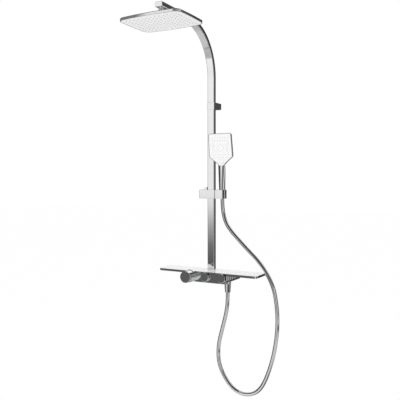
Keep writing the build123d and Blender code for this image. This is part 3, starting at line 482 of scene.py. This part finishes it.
@dataclass(frozen=True)
class Finish:
    """A finish of the shower column: what the shader is told about one material."""

    name: str
    colour: Colour
    metallic: float = 0.0
    coat: float = 0.0
    coat_roughness: float = 0.05
    specular: float = 0.5
    bump: float = 0.02
    bump_distance: float = 0.0002

    def start(self) -> tuple[bpy.types.Material, ShaderGraph, bpy.types.Node]:
        """Starts the material with its shader.

        Returns:
            The material, its graph and its Principled BSDF.
        """
        material, graph = ShaderGraph.of_material(self.name)
        sockets = {
            "Base Color": (*self.colour, 1.0),
            "Metallic": self.metallic,
            "Coat Weight": self.coat,
            "Coat Roughness": self.coat_roughness,
            "Specular IOR Level": self.specular,
        }
        shader = graph.add("ShaderNodeBsdfPrincipled", sockets)
        graph.add("ShaderNodeOutputMaterial", {"Surface": shader.outputs[0]})
        return material, graph, shader

    def build(self, effects: Effects) -> bpy.types.Material:
        """Builds the material, as each kind of finish does in its own way.

        Args:
            effects: the shared effect groups.

        Returns:
            The finished material.
        """
        raise NotImplementedError

    def bumped(self, graph: ShaderGraph, shader: bpy.types.Node, height: bpy.types.NodeSocket) -> None:
        """Feeds a height into the shader's normal.

        Args:
            graph: the material's graph.
            shader: its Principled BSDF.
            height: the output that gives the height.
        """
        bump = graph.add(
            "ShaderNodeBump",
            {"Height": height, "Strength": self.bump, "Distance": self.bump_distance},
        )
        graph.link(bump.outputs["Normal"], shader.inputs["Normal"])

    def tinted(
        self, graph: ShaderGraph, shader: bpy.types.Node, tone: bpy.types.NodeSocket, by: float
    ) -> None:
        """Lets the colour drift a little, lighter and darker.

        Args:
            graph: the material's graph.
            shader: its Principled BSDF.
            tone: the output, from 0 to 1, that drives the drift.
            by: how far the colour may drift.
        """
        level = graph.math("MULTIPLY_ADD", tone, by, 1.0 - by / 2)
        mixed = {"Factor": 1.0, "A": (*self.colour, 1.0), "B": level}
        tint = graph.add("ShaderNodeMix", mixed, data_type="RGBA", blend_type="MULTIPLY")
        graph.link(tint.outputs["Result"], shader.inputs["Base Color"])


@dataclass(frozen=True)
class PolishedMetal(Finish):
    """Bright plated metal with faint wipe marks."""

    low: float = 0.03
    high: float = 0.09
    spots: float = 300.0

    def build(self, effects: Effects) -> bpy.types.Material:
        """Builds the material.

        Args:
            effects: the shared effect groups.

        Returns:
            The finished material.
        """
        material, graph, shader = self.start()
        marks = effects.wipe_marks.place(graph, Low=self.low, High=self.high, Spots=self.spots)
        graph.link(marks.outputs["Roughness"], shader.inputs["Roughness"])
        self.bumped(graph, shader, marks.outputs["Height"])
        return material


@dataclass(frozen=True)
class MachinedMetal(Finish):
    """Plain turned or brushed metal."""

    low: float = 0.22
    high: float = 0.42
    pitch: float = 900.0

    def build(self, effects: Effects) -> bpy.types.Material:
        """Builds the material.

        Args:
            effects: the shared effect groups.

        Returns:
            The finished material.
        """
        material, graph, shader = self.start()
        lines = effects.turned_lines.place(graph, Low=self.low, High=self.high, Pitch=self.pitch)
        graph.link(lines.outputs["Roughness"], shader.inputs["Roughness"])
        self.bumped(graph, shader, lines.outputs["Height"])
        return material


@dataclass(frozen=True)
class Moulded(Finish):
    """Moulded plastic, rubber or backed glass with a fine grain and a slow drift of tone."""

    low: float = 0.28
    high: float = 0.42
    grain: float = 1400.0
    drift: float = 9.0
    tint: float = 0.03

    def build(self, effects: Effects) -> bpy.types.Material:
        """Builds the material.

        Args:
            effects: the shared effect groups.

        Returns:
            The finished material.
        """
        material, graph, shader = self.start()
        grain = effects.fine_grain.place(
            graph, Low=self.low, High=self.high, Grain=self.grain, Drift=self.drift
        )
        graph.link(grain.outputs["Roughness"], shader.inputs["Roughness"])
        self.bumped(graph, shader, grain.outputs["Height"])
        self.tinted(graph, shader, grain.outputs["Tone"], self.tint)
        return material


@dataclass(frozen=True)
class WrappedHose(Finish):
    """A smooth silver hose: a clear skin over a fine foil wrapped round it."""

    turns: float = 520.0
    low: float = 0.05
    high: float = 0.1
    drift: float = 30.0
    tint: float = 0.06

    def build(self, effects: Effects) -> bpy.types.Material:
        """Builds the material, whose wrap follows the hose's own map.

        Args:
            effects: the shared effect groups.

        Returns:
            The finished material.
        """
        material, graph, shader = self.start()
        grain = effects.fine_grain.place(graph, Low=self.low, High=self.high, Drift=self.drift)
        graph.link(grain.outputs["Roughness"], shader.inputs["Roughness"])
        place = graph.add("ShaderNodeUVMap", uv_map="hose_map").outputs["UV"]
        split = graph.add("ShaderNodeSeparateXYZ", {"Vector": place})
        turned = graph.math("MULTIPLY_ADD", split.outputs["X"], self.turns, split.outputs["Y"])
        wave = graph.math("MULTIPLY", turned, 2 * math.pi)
        wrap = graph.math("MULTIPLY_ADD", graph.math("SINE", wave), 0.5, 0.5)
        self.bumped(graph, shader, wrap)
        self.tinted(graph, shader, wrap, self.tint)
        return material


@dataclass
class Finishes:
    """Every finish on the shower column, and which CAD nodes wear it."""

    effects: Effects = field(default_factory=Effects)
    made: dict[str, bpy.types.Material] = field(default_factory=dict)
    chrome: PolishedMetal = PolishedMetal("polished_chrome", (0.88, 0.885, 0.89), metallic=1.0)
    column_chrome: PolishedMetal = PolishedMetal(
        "column_chrome", (0.9, 0.9, 0.905), metallic=1.0, low=0.05, high=0.1
    )
    end_cap: PolishedMetal = PolishedMetal(
        "end_cap_chrome", (0.97, 0.97, 0.97), metallic=1.0, low=0.03, high=0.07
    )
    white_face: Moulded = Moulded("white_face", (0.9, 0.9, 0.905), coat=0.3, bump=0.01)
    # The rain head's spray plate is a brighter copy of the white plastic on the handset face. The extra white is
    # painted light, standing in for the light its downward face lacks.
    spray_plate_painted_bright: Moulded = Moulded("spray_plate_painted_bright", (0.965, 0.965, 0.968), specular=0.15, bump=0.01)
    shelf_glass: Moulded = Moulded(
        "backed_white_glass", (0.96, 0.965, 0.965),
        coat=0.25, specular=0.3, low=0.16, high=0.24, bump=0.0, tint=0.015,
    )
    soft_grey: Moulded = Moulded("soft_grey_rubber", (0.42, 0.425, 0.435), low=0.5, high=0.65, bump=0.15)
    black_rubber: Moulded = Moulded("black_rubber", (0.03, 0.03, 0.03), low=0.55, high=0.7, bump=0.2)
    dark_plastic: Moulded = Moulded("dark_plastic", (0.09, 0.09, 0.095), low=0.4, high=0.55, bump=0.15)
    brass: MachinedMetal = MachinedMetal("turned_brass", (0.78, 0.6, 0.32), metallic=1.0, bump=0.1)
    steel: MachinedMetal = MachinedMetal("brushed_steel", (0.6, 0.61, 0.62), metallic=1.0, bump=0.1)
    hose: WrappedHose = WrappedHose("silver_hose", (0.84, 0.845, 0.855), metallic=0.98, coat=0.1, bump=0.05)

    def get(self, finish: Finish) -> bpy.types.Material:
        """Gives a finish's material, built the first time it is asked for.

        Args:
            finish: the finish.

        Returns:
            Its material.
        """
        if finish.name not in self.made:
            self.made[finish.name] = finish.build(self.effects)
        return self.made[finish.name]

    def worn_by(self) -> dict[str, Finish]:
        """Says which finish each CAD node wears.

        Returns:
            A finish for each node's name.
        """
        groups: list[tuple[Finish, Iterable[str]]] = [
            (self.column_chrome, ("riser_tube", "arm_tube")),
            (self.end_cap, ("arm_end_cap",)),
            (
                self.chrome,
                (
                    "arm_outlet", "ball_joint", "ball_nut", "wall_bracket", "head_shell", "slider_body",
                    "release_lever", "cradle", "handset_shell", "hose_cone_nut",
                    "hose_nut_lower", "hose_outlet", "shelf_tray", "front_plate", "casing",
                    "side_cover_left", "side_cover_right", "knob_ring", "thermostat_knob", "knob_cap",
                    "safety_button", "head_button", "hand_button", "union_nuts",
                ),
            ),
            # The head's face wears the brightened white: painted light for its shaded underside.
            (self.spray_plate_painted_bright, ("head_face",)),
            (self.white_face, ("handset_face", "mode_button")),
            (self.shelf_glass, ("shelf_glass",)),
            (self.soft_grey, ("head_nozzles", "handset_nozzles", "nozzle_mat")),
            (self.black_rubber, ("handset_washer", "hose_washer", "inlet_filters")),
            (
                self.dark_plastic,
                ("ball_seat", "clamp_pad", "friction_washer", "joint_sleeve", "check_valves"),
            ),
            (
                self.brass,
                (
                    "bracket_base", "riser_spigot", "valve_body", "thermostat_cartridge", "head_valve",
                    "hand_valve", "cartridge_nuts", "handset_inlet", "eccentric_unions",
                ),
            ),
            (self.steel, ("bracket_grub_screw", "shelf_screws", "lever_pin", "pivot_screw")),
            (self.hose, ("hose",)),
        ]
        return {node: finish for finish, nodes in groups for node in nodes}

    def dress(self) -> None:
        """Gives every CAD node its finish."""
        wearing = self.worn_by()
        for node, piece in frame["nodes"].items():
            material = self.get(wearing[node])
            if not piece.material_slots:
                piece.data.materials.append(material)
            for slot in piece.material_slots:
                slot.material = material
        LOG.info("dressed %d CAD nodes", len(wearing))


@dataclass
class HangingHose:
    """The smooth silver hose between the hand shower's nut and the mixer's nut.

    It is cut at two heights, neck_top and neck_foot, and at its lowest point, so that each run bends with
    the one joint that it crosses. The bend ends a margin short of the run's upper end. Steps and roundness
    say how finely the tube is drawn along its line and round it.
    """

    finishes: Finishes
    radius: float = 0.008
    neck_top: float = -0.424
    neck_foot: float = -0.5
    margin: float = 0.004
    steps: int = 14
    roundness: int = 5
    route: tuple[Place, ...] = (
        (0.0560, -0.0669, -0.4019),
        (0.0560, -0.0657, -0.4359),
        (0.0650, -0.0700, -0.4840),
        (0.0905, -0.0759, -0.5300),
        (0.1749, -0.0883, -0.6053),
        (0.2490, -0.0981, -0.6662),
        (0.3014, -0.1040, -0.7443),
        (0.3179, -0.1040, -0.8189),
        (0.3225, -0.1039, -0.8999),
        (0.3136, -0.1034, -0.9854),
        (0.2938, -0.1029, -1.0711),
        (0.2586, -0.1023, -1.1613),
        (0.2185, -0.1020, -1.2018),
        (0.1625, -0.1017, -1.2121),
        (0.1107, -0.1014, -1.1886),
        (0.0595, -0.1009, -1.1178),
        (0.0506, -0.1004, -1.0345),
        (0.0750, -0.0998, -0.9420),
        (0.0900, -0.0994, -0.8860),
        (0.0974, -0.0990, -0.8380),
        (0.0974, -0.0990, -0.7952),
    )

    def centreline(self, depth: float) -> bpy.types.Object:
        """Lays one smooth spline along the route.

        Args:
            depth: the radius of the tube round it, or 0 for the line alone.

        Returns:
            A curve object.
        """
        curve = bpy.data.curves.new("hose_line", "CURVE")
        curve.dimensions = "3D"
        curve.resolution_u = self.steps
        curve.bevel_depth = depth
        curve.bevel_resolution = self.roundness
        spline = curve.splines.new("NURBS")
        spline.points.add(len(self.route) - 1)
        for point, place in zip(spline.points, self.route):
            point.co = (*place, 1.0)
        spline.order_u = 3
        spline.use_endpoint_u = True
        return placed("hose_line", curve)

    def as_mesh(self, line: bpy.types.Object) -> bpy.types.Mesh:
        """Turns a curve object into a mesh and removes the curve.

        Args:
            line: the curve object.

        Returns:
            The mesh.
        """
        bpy.context.view_layer.update()
        shape = line.evaluated_get(bpy.context.evaluated_depsgraph_get())
        mesh = bpy.data.meshes.new_from_object(shape)
        bpy.data.objects.remove(line)
        return mesh

    def run(self, tube: bpy.types.Mesh, name: str, rings: tuple[int, int], ring: int) -> bpy.types.Object:
        """Cuts one run of the tube out as a piece, so that it can follow its own joint.

        Args:
            tube: the whole tube.
            name: the piece's name.
            rings: the run's first and last ring, counted from the hand shower.
            ring: how many points a ring has.

        Returns:
            The piece, whose ends meet its neighbours' ring on ring.
        """
        shape = bmesh.new()
        shape.from_mesh(tube)
        first, last = rings
        beyond = [vertex for vertex in shape.verts if not first <= vertex.index // ring <= last]
        bmesh.ops.delete(shape, geom=beyond, context="VERTS")
        piece = as_object(name, shape)
        piece.data.materials.append(self.finishes.get(self.finishes.hose))
        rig.slot(piece, Slot.SILVER_HOSE.value)
        LOG.info("%s: %d faces", name, len(piece.data.polygons))
        return piece

    def declare(
        self, piece: bpy.types.Object, path: Sequence[Vector], others: Sequence[bpy.types.Object]
    ) -> None:
        """Says that a run is a free cord, which leaves the object at its path's last point.

        Args:
            piece: the run.
            path: its ring centres.
            others: the pieces on it.
        """
        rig.cord(
            piece,
            exit=path[-1],
            length=sum((end - start).length for start, end in zip(path, path[1:])),
            diameter=2 * self.radius,
            far_end="object",
            stiffness="medium",
            lay="hanging",
            path=path,
            with_pieces=others,
        )

    def build(self) -> None:
        """Builds the hose in four runs: from the mixer, to the slider, to the holder and to the nut."""
        path = [vertex.co.copy() for vertex in self.as_mesh(self.centreline(0.0)).vertices]
        tube = self.as_mesh(self.centreline(self.radius))
        if tube.uv_layers:
            tube.uv_layers[0].name = "hose_map"
        tube.materials.clear()
        for face in tube.polygons:
            face.use_smooth = True
        ring = len(tube.vertices) // len(path)
        lowest = min(range(len(path)), key=lambda place: path[place].z)
        foot = next(place for place, point in enumerate(path) if point.z < self.neck_foot)
        top = next(place for place, point in enumerate(path) if point.z < self.neck_top)
        tip = self.run(tube, "silver_hose_tip", (0, top), ring)
        neck = self.run(tube, "silver_hose_neck", (top, foot), ring)
        hose = self.run(tube, "silver_hose", (foot, lowest), ring)
        loop = self.run(tube, "silver_hose_loop", (lowest, len(path) - 1), ring)
        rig.replaces(hose, "hose")
        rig.ride(loop, Body.COLUMN.value)
        for piece, lower, upper, low, high in (
            (hose, Body.COLUMN, Body.SLIDER, path[lowest], path[foot]),
            (neck, Body.SLIDER, Body.HOLDER, path[foot], path[top]),
            (tip, Body.HOLDER, Body.HANDSET, path[top], path[0]),
        ):
            start = (high.x, high.y, low.z + self.radius)
            end = (high.x, high.y, high.z - self.margin)
            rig.blend(piece, lower.value, upper.value, start=start, end=end)
        self.declare(loop, path[lowest:], [frame["nodes"]["hose_nut_lower"]])
        self.declare(hose, path[foot:lowest + 1], [neck, tip, frame["nodes"]["hose_cone_nut"]])
        length = sum((end - start).length for start, end in zip(path, path[1:]))
        LOG.info("the whole hose is %.3f m long", length)
        bpy.data.meshes.remove(tube)


@dataclass
class SprayNozzles:
    """Soft nozzle tips, each tapered, rounded and bored, that stand out of a spray face.

    Taper, rounding and bore are shares of a tip's radius, and bore_depth is a share of its height.
    """

    node: str
    body: Body
    radius: float
    height: float
    spots: Sequence[tuple[float, float]]
    across: Vector
    along: Vector
    finishes: Finishes
    sides: int = 8
    taper: float = 0.8
    rounding: float = 0.25
    bore: float = 0.42
    bore_depth: float = 0.6
    sharp_angle: float = 50.0

    def tip(self, shape: bmesh.types.BMesh) -> list[bmesh.types.BMVert]:
        """Shapes one nozzle tip that points up from the origin.

        Args:
            shape: the mesh to build it in.

        Returns:
            The tip's vertices.
        """
        bmesh.ops.create_cone(
            shape,
            cap_ends=True,
            segments=self.sides,
            radius1=self.radius,
            radius2=self.radius * self.taper,
            depth=self.height,
            matrix=Matrix.Translation((0.0, 0.0, self.height / 2)),
        )
        mouth = max(shape.faces, key=lambda face: face.calc_center_median().z)
        rim = list(mouth.edges)
        soft = self.rounding * self.radius
        bmesh.ops.bevel(
            shape, geom=rim, offset=soft, affect="EDGES", segments=1, profile=0.5, material=-1
        )
        mouth = max(shape.faces, key=lambda face: face.calc_center_median().z)
        wall = self.radius * (self.taper - self.bore) - soft
        bmesh.ops.inset_region(shape, faces=[mouth], thickness=wall)
        bored = bmesh.ops.extrude_discrete_faces(shape, faces=[mouth])["faces"]
        bmesh.ops.translate(shape, verts=bored[0].verts, vec=(0.0, 0.0, -self.bore_depth * self.height))
        return list(shape.verts)

    def build(self) -> bpy.types.Object:
        """Sets a tip at every spot of the pattern, in place of the plain CAD nozzles.

        Returns:
            The nozzles, as one piece.
        """
        low, high = (Vector(corner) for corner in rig.box(self.node))
        outward = self.across.cross(self.along)
        base = (low + high) / 2 - outward * (self.height / 2)
        turned = Matrix((self.across, self.along, outward)).transposed().to_4x4()
        shape = bmesh.new()
        pattern = self.tip(shape)
        first = list(shape.verts) + list(shape.edges) + list(shape.faces)
        for across, along in self.spots[1:]:
            copy = bmesh.ops.duplicate(shape, geom=first)["geom"]
            verts = [item for item in copy if isinstance(item, bmesh.types.BMVert)]
            bmesh.ops.translate(shape, verts=verts, vec=(across, along, 0.0))
        bmesh.ops.translate(shape, verts=pattern, vec=(*self.spots[0], 0.0))
        bmesh.ops.transform(shape, verts=shape.verts, matrix=Matrix.Translation(base) @ turned)
        bmesh.ops.recalc_face_normals(shape, faces=shape.faces)
        piece = as_object(f"{self.node}_tips", shape)
        mesh = piece.data
        for face in mesh.polygons:
            face.use_smooth = True
        mesh.set_sharp_from_angle(angle=math.radians(self.sharp_angle))
        mesh.materials.append(self.finishes.get(self.finishes.soft_grey))
        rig.ride(piece, self.body.value)
        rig.replaces(piece, self.node)
        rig.slot(piece, Slot.GREY_RUBBER.value)
        LOG.info("%s: %d tips, %d faces", self.node, len(self.spots), len(mesh.polygons))
        return piece


@dataclass
class RainHeadSpray:
    """The nozzles under the rain head, in an even grid."""

    finishes: Finishes
    pitch: float = 0.018
    columns: int = 13
    rows: int = 9
    nozzle_radius: float = 0.002
    nozzle_height: float = 0.0016

    def build(self) -> bpy.types.Object:
        """Builds the grid of nozzles.

        Returns:
            The nozzles.
        """
        spots = [
            ((column - (self.columns - 1) / 2) * self.pitch, (row - (self.rows - 1) / 2) * self.pitch)
            for column in range(self.columns)
            for row in range(self.rows)
        ]
        return SprayNozzles(
            node="head_nozzles",
            body=Body.RAIN_HEAD,
            radius=self.nozzle_radius,
            height=self.nozzle_height,
            spots=spots,
            across=Vector((1.0, 0.0, 0.0)),
            along=Vector((0.0, -1.0, 0.0)),
            finishes=self.finishes,
        ).build()


@dataclass
class HandShowerSpray:
    """The hand shower's nozzles: two square frames of them round a ring.

    The frames' rows, and the rows of each side column, are counted in pitches from the face's middle.
    """

    finishes: Finishes
    pitch: float = 0.012
    ring_radius: float = 0.015
    ring_nozzles: int = 8
    steps: int = 3
    rows: tuple[float, ...] = (-3.5, -2.5, 2.5, 3.5)
    side_columns: tuple[tuple[float, tuple[float, ...]], ...] = (
        (3.0, (-1.5, -0.5, 0.5, 1.5)),
        (2.5, (-1.0, 0.0, 1.0)),
    )
    lean: float = 8.0
    nozzle_radius: float = 0.0013
    nozzle_height: float = 0.0009

    def build(self) -> bpy.types.Object:
        """Builds the frames and the ring of nozzles on the leaning face.

        Returns:
            The nozzles.
        """
        turns = [number * math.tau / self.ring_nozzles for number in range(self.ring_nozzles)]
        spots = [(self.ring_radius * math.cos(turn), self.ring_radius * math.sin(turn)) for turn in turns]
        for row in self.rows:
            spots += [(step * self.pitch, row * self.pitch) for step in range(-self.steps, self.steps + 1)]
        for side in (-1, 1):
            for column, rows in self.side_columns:
                spots += [(side * column * self.pitch, row * self.pitch) for row in rows]
        lean = math.radians(self.lean)
        return SprayNozzles(
            node="handset_nozzles",
            body=Body.HANDSET,
            radius=self.nozzle_radius,
            height=self.nozzle_height,
            spots=spots,
            across=Vector((1.0, 0.0, 0.0)),
            along=Vector((0.0, -math.sin(lean), math.cos(lean))),
            finishes=self.finishes,
        ).build()


@dataclass(frozen=True)
class SoftLamp:
    """A soft square lamp that faces the column, unseen by polished metal."""

    name: str
    place: Place
    watts: float
    size: float = 1.6
    aim: Place = (0.0, -0.1, -0.4)

    def build(self) -> None:
        """Sets the lamp up."""
        data = bpy.data.lights.new(self.name, "AREA")
        data.shape = "SQUARE"
        data.size = self.size
        data.energy = self.watts
        lamp = placed(self.name, data)
        lamp.location = self.place
        lamp.rotation_euler = (Vector(self.place) - Vector(self.aim)).to_track_quat("Z", "Y").to_euler()
        lamp.visible_glossy = False


@dataclass
class Studio:
    """A pale room: floor, soft lamps, surroundings that the chrome reflects, and the camera.

    Each sector of the surroundings is a grey ramp from straight below, 0, to straight above, 1, and
    sector_edge says how sharply one passes into the next. The camera's rise is the shift of its lens.
    """

    camera_place: Place = (1.1229, -2.1906, -0.3279)
    camera_turn: float = 28.99
    lens: float = 49.8
    sensor: float = 36.0
    reach: float = 60.0
    rise: float = -0.0476
    lamps: tuple[SoftLamp, ...] = (
        SoftLamp("key_lamp", (-1.8, -2.6, 1.6), 14.0),
        SoftLamp("fill_lamp", (2.4, -2.2, 0.6), 5.0),
    )
    floor_height: float = -1.6
    floor_size: float = 20.0
    floor_colour: Colour = (0.95, 0.95, 0.95)
    floor_glow: float = 0.9
    room_colour: Colour = (0.98, 0.98, 0.985)
    sector_edge: float = 50.0
    left: Stops = (
        (0.05, 0.62), (0.12, 0.55), (0.2, 0.45), (0.28, 0.2), (0.42, 0.14), (0.46, 0.06),
        (0.6, 0.07), (0.66, 0.25), (0.8, 0.12),
    )
    front: Stops = (
        (0.1, 0.55), (0.17, 0.47), (0.235, 0.5), (0.265, 0.93), (0.5, 0.88), (0.6, 0.93),
        (0.64, 0.86), (0.665, 0.78), (0.69, 0.12), (0.76, 0.12), (0.81, 0.75),
    )
    front_right: Stops = (
        (0.1, 0.55), (0.235, 0.5), (0.27, 0.7), (0.315, 0.6), (0.33, 0.12), (0.345, 0.45),
        (0.375, 0.5), (0.39, 0.2), (0.57, 0.2), (0.61, 0.4), (0.65, 0.2), (0.69, 0.02),
    )
    softbox: Stops = (
        (0.05, 0.1), (0.14, 0.15), (0.2, 0.55), (0.27, 0.7), (0.32, 0.6), (0.332, 0.02),
        (0.352, 0.05), (0.367, 0.75), (0.46, 0.8), (0.5, 0.95), (0.6, 0.95), (0.67, 0.04),
    )
    right: Stops = (
        (0.14, 0.1), (0.2, 0.5), (0.27, 0.6), (0.315, 0.5), (0.332, 0.02), (0.345, 0.04), (0.36, 0.42),
        (0.39, 0.42), (0.415, 0.03), (0.48, 0.03), (0.56, 0.08), (0.64, 0.5), (0.7, 0.15),
    )
    side_lamp: Stops = (
        (0.14, 0.08), (0.2, 0.45), (0.27, 0.6), (0.3, 0.5), (0.335, 0.25), (0.37, 0.5), (0.48, 0.65),
        (0.52, 0.5), (0.56, 0.1), (0.66, 0.08), (0.7, 0.9), (0.85, 0.9), (0.93, 0.15),
    )
    side_wall: Stops = (
        (0.14, 0.08), (0.2, 0.45), (0.265, 0.45), (0.29, 0.02), (0.46, 0.05), (0.58, 0.07),
        (0.62, 0.045), (0.67, 0.045), (0.7, 0.9), (0.85, 0.9), (0.93, 0.15),
    )
    behind: Stops = (
        (0.15, 0.5), (0.235, 0.45), (0.26, 0.3), (0.29, 0.1), (0.54, 0.1), (0.57, 0.9),
        (0.85, 0.95), (0.93, 0.15),
    )
    card_place: Place = (-0.165, -0.55, -0.6375)
    card_width: float = 0.62
    card_height: float = 0.495
    card_colour: Colour = (0.108, 0.108, 0.108)
    card_cover: Stops = (
        (0.0, 0.5), (0.04, 1.0), (0.27, 1.0), (0.43, 0.92), (0.64, 0.63), (0.855, 0.18), (1.0, 0.0),
    )

    def camera(self) -> None:
        """Sets the camera level in front of the column, to its right."""
        data = bpy.data.cameras.new("studio_camera")
        data.lens = self.lens
        data.sensor_width = self.sensor
        data.shift_y = self.rise
        data.clip_end = self.reach
        camera = placed("studio_camera", data)
        camera.location = self.camera_place
        camera.rotation_euler = (math.radians(90), 0.0, math.radians(self.camera_turn))
        bpy.context.scene.camera = camera

    def floor(self) -> None:
        """Lays a wide pale floor well under the hose, which the camera sees nearly white."""
        shape = bmesh.new()
        bmesh.ops.create_grid(shape, x_segments=4, y_segments=4, size=self.floor_size)
        bmesh.ops.translate(shape, verts=shape.verts, vec=(0.0, 0.0, self.floor_height))
        floor = as_object("studio_floor", shape)
        floor.visible_glossy = False
        material, graph = ShaderGraph.of_material("studio_floor")
        matte = graph.add("ShaderNodeBsdfDiffuse", {"Color": (*self.floor_colour, 1.0)})
        glow = graph.add("ShaderNodeEmission")
        seen = graph.add("ShaderNodeLightPath").outputs["Is Camera Ray"]
        share = graph.math("MULTIPLY", seen, self.floor_glow)
        both = graph.add("ShaderNodeMixShader", {0: share, 1: matte.outputs[0], 2: glow.outputs[0]})
        graph.add("ShaderNodeOutputMaterial", {"Surface": both.outputs[0]})
        floor.data.materials.append(material)
        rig.stage(floor)

    def surroundings(self, graph: ShaderGraph) -> bpy.types.NodeSocket:
        """Draws what polished metal reflects: bands of light and shade, sector by sector round the column.

        Each sector takes over from the one before it at its share of a full turn.

        Args:
            graph: the world's graph.

        Returns:
            The tone in each direction.
        """
        way = graph.add("ShaderNodeTexCoord").outputs["Generated"]
        split = graph.add("ShaderNodeSeparateXYZ", {"Vector": way})
        height = graph.math("MULTIPLY_ADD", split.outputs["Z"], 0.5, 0.5)
        bearing = graph.math("ARCTAN2", split.outputs["Y"], split.outputs["X"])
        turn = graph.math("MULTIPLY_ADD", bearing, 0.5 / math.pi, 0.5)
        tone = graph.ramp(height, self.left)
        sectors = (
            (0.137, self.front), (0.198, self.front_right), (0.355, self.softbox), (0.43, self.right),
            (0.555, self.side_lamp), (0.645, self.side_wall), (0.76, self.behind), (0.89, self.left),
        )
        for start, stops in sectors:
            past = graph.math("SUBTRACT", turn, start)
            reached = graph.math("MULTIPLY", past, self.sector_edge, clamp=True)
            sector = {"Factor": reached, "A": tone, "B": graph.ramp(height, stops)}
            tone = graph.add("ShaderNodeMix", sector, data_type="FLOAT").outputs["Result"]
        return tone

    def sky(self) -> None:
        """Makes the surroundings: white to the camera, an even light to the rest, and a studio to metal."""
        world = bpy.data.worlds.new("studio_sky")
        world.use_nodes = True
        world.node_tree.nodes.clear()
        bpy.context.scene.world = world
        graph = ShaderGraph(world.node_tree)
        path = graph.add("ShaderNodeLightPath")
        reflected = {
            "Factor": path.outputs["Is Glossy Ray"],
            "A": (*self.room_colour, 1.0),
            "B": self.surroundings(graph),
        }
        polished = graph.add("ShaderNodeMix", reflected, data_type="RGBA")
        shown = {
            "Factor": path.outputs["Is Camera Ray"],
            "A": polished.outputs["Result"],
            "B": (1.0, 1.0, 1.0, 1.0),
        }
        seen = graph.add("ShaderNodeMix", shown, data_type="RGBA")
        ground = graph.add("ShaderNodeBackground", {"Color": seen.outputs["Result"], "Strength": 1.0})
        graph.add("ShaderNodeOutputWorld", {"Surface": ground.outputs[0]})

    def card(self) -> None:
        """Stands a shaded card low in front, to the left, which only the lower metal's reflections show."""
        shape = bmesh.new()
        bmesh.ops.create_grid(shape, x_segments=1, y_segments=1, size=0.5)
        bmesh.ops.scale(shape, verts=shape.verts, vec=(self.card_width, self.card_height, 1.0))
        bmesh.ops.rotate(shape, verts=shape.verts, matrix=Matrix.Rotation(math.radians(90), 3, "X"))
        bmesh.ops.translate(shape, verts=shape.verts, vec=self.card_place)
        card = as_object("shaded_card", shape)
        for kind in ("camera", "diffuse", "shadow", "transmission", "volume_scatter"):
            setattr(card, f"visible_{kind}", False)
        material, graph = ShaderGraph.of_material("shaded_card")
        place = graph.add("ShaderNodeTexCoord").outputs["Object"]
        split = graph.add("ShaderNodeSeparateXYZ", {"Vector": place})
        rise = graph.math("SUBTRACT", split.outputs["Z"], self.card_place[2] - self.card_height / 2)
        share = graph.math("DIVIDE", rise, self.card_height)
        cover = graph.ramp(share, self.card_cover)
        shade = graph.add("ShaderNodeEmission", {"Color": (*self.card_colour, 1.0)})
        clear = graph.add("ShaderNodeBsdfTransparent")
        both = graph.add("ShaderNodeMixShader", {0: cover, 1: clear.outputs[0], 2: shade.outputs[0]})
        graph.add("ShaderNodeOutputMaterial", {"Surface": both.outputs[0]})
        card.data.materials.append(material)
        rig.stage(card)

    def build(self) -> None:
        """Builds the whole studio."""
        self.camera()
        self.sky()
        self.floor()
        self.card()
        for lamp in self.lamps:
            lamp.build()
        bpy.context.scene.view_settings.view_transform = "Standard"


def main() -> None:
    """Builds the studio, the hose and the nozzles, dresses the CAD nodes and writes the sizes."""
    logging.basicConfig(level=logging.INFO, format="%(name)s: %(message)s")
    finishes = Finishes()
    Studio().build()
    HangingHose(finishes).build()
    RainHeadSpray(finishes).build()
    HandShowerSpray(finishes).build()
    finishes.dress()
    with open("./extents.json", "w") as sizes:
        boxes = {"cad": CAD_BOX, "visual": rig.bounds()}
        json.dump({name: [list(map(float, corner)) for corner in box] for name, box in boxes.items()}, sizes)


if __name__ == "__main__":
    main()
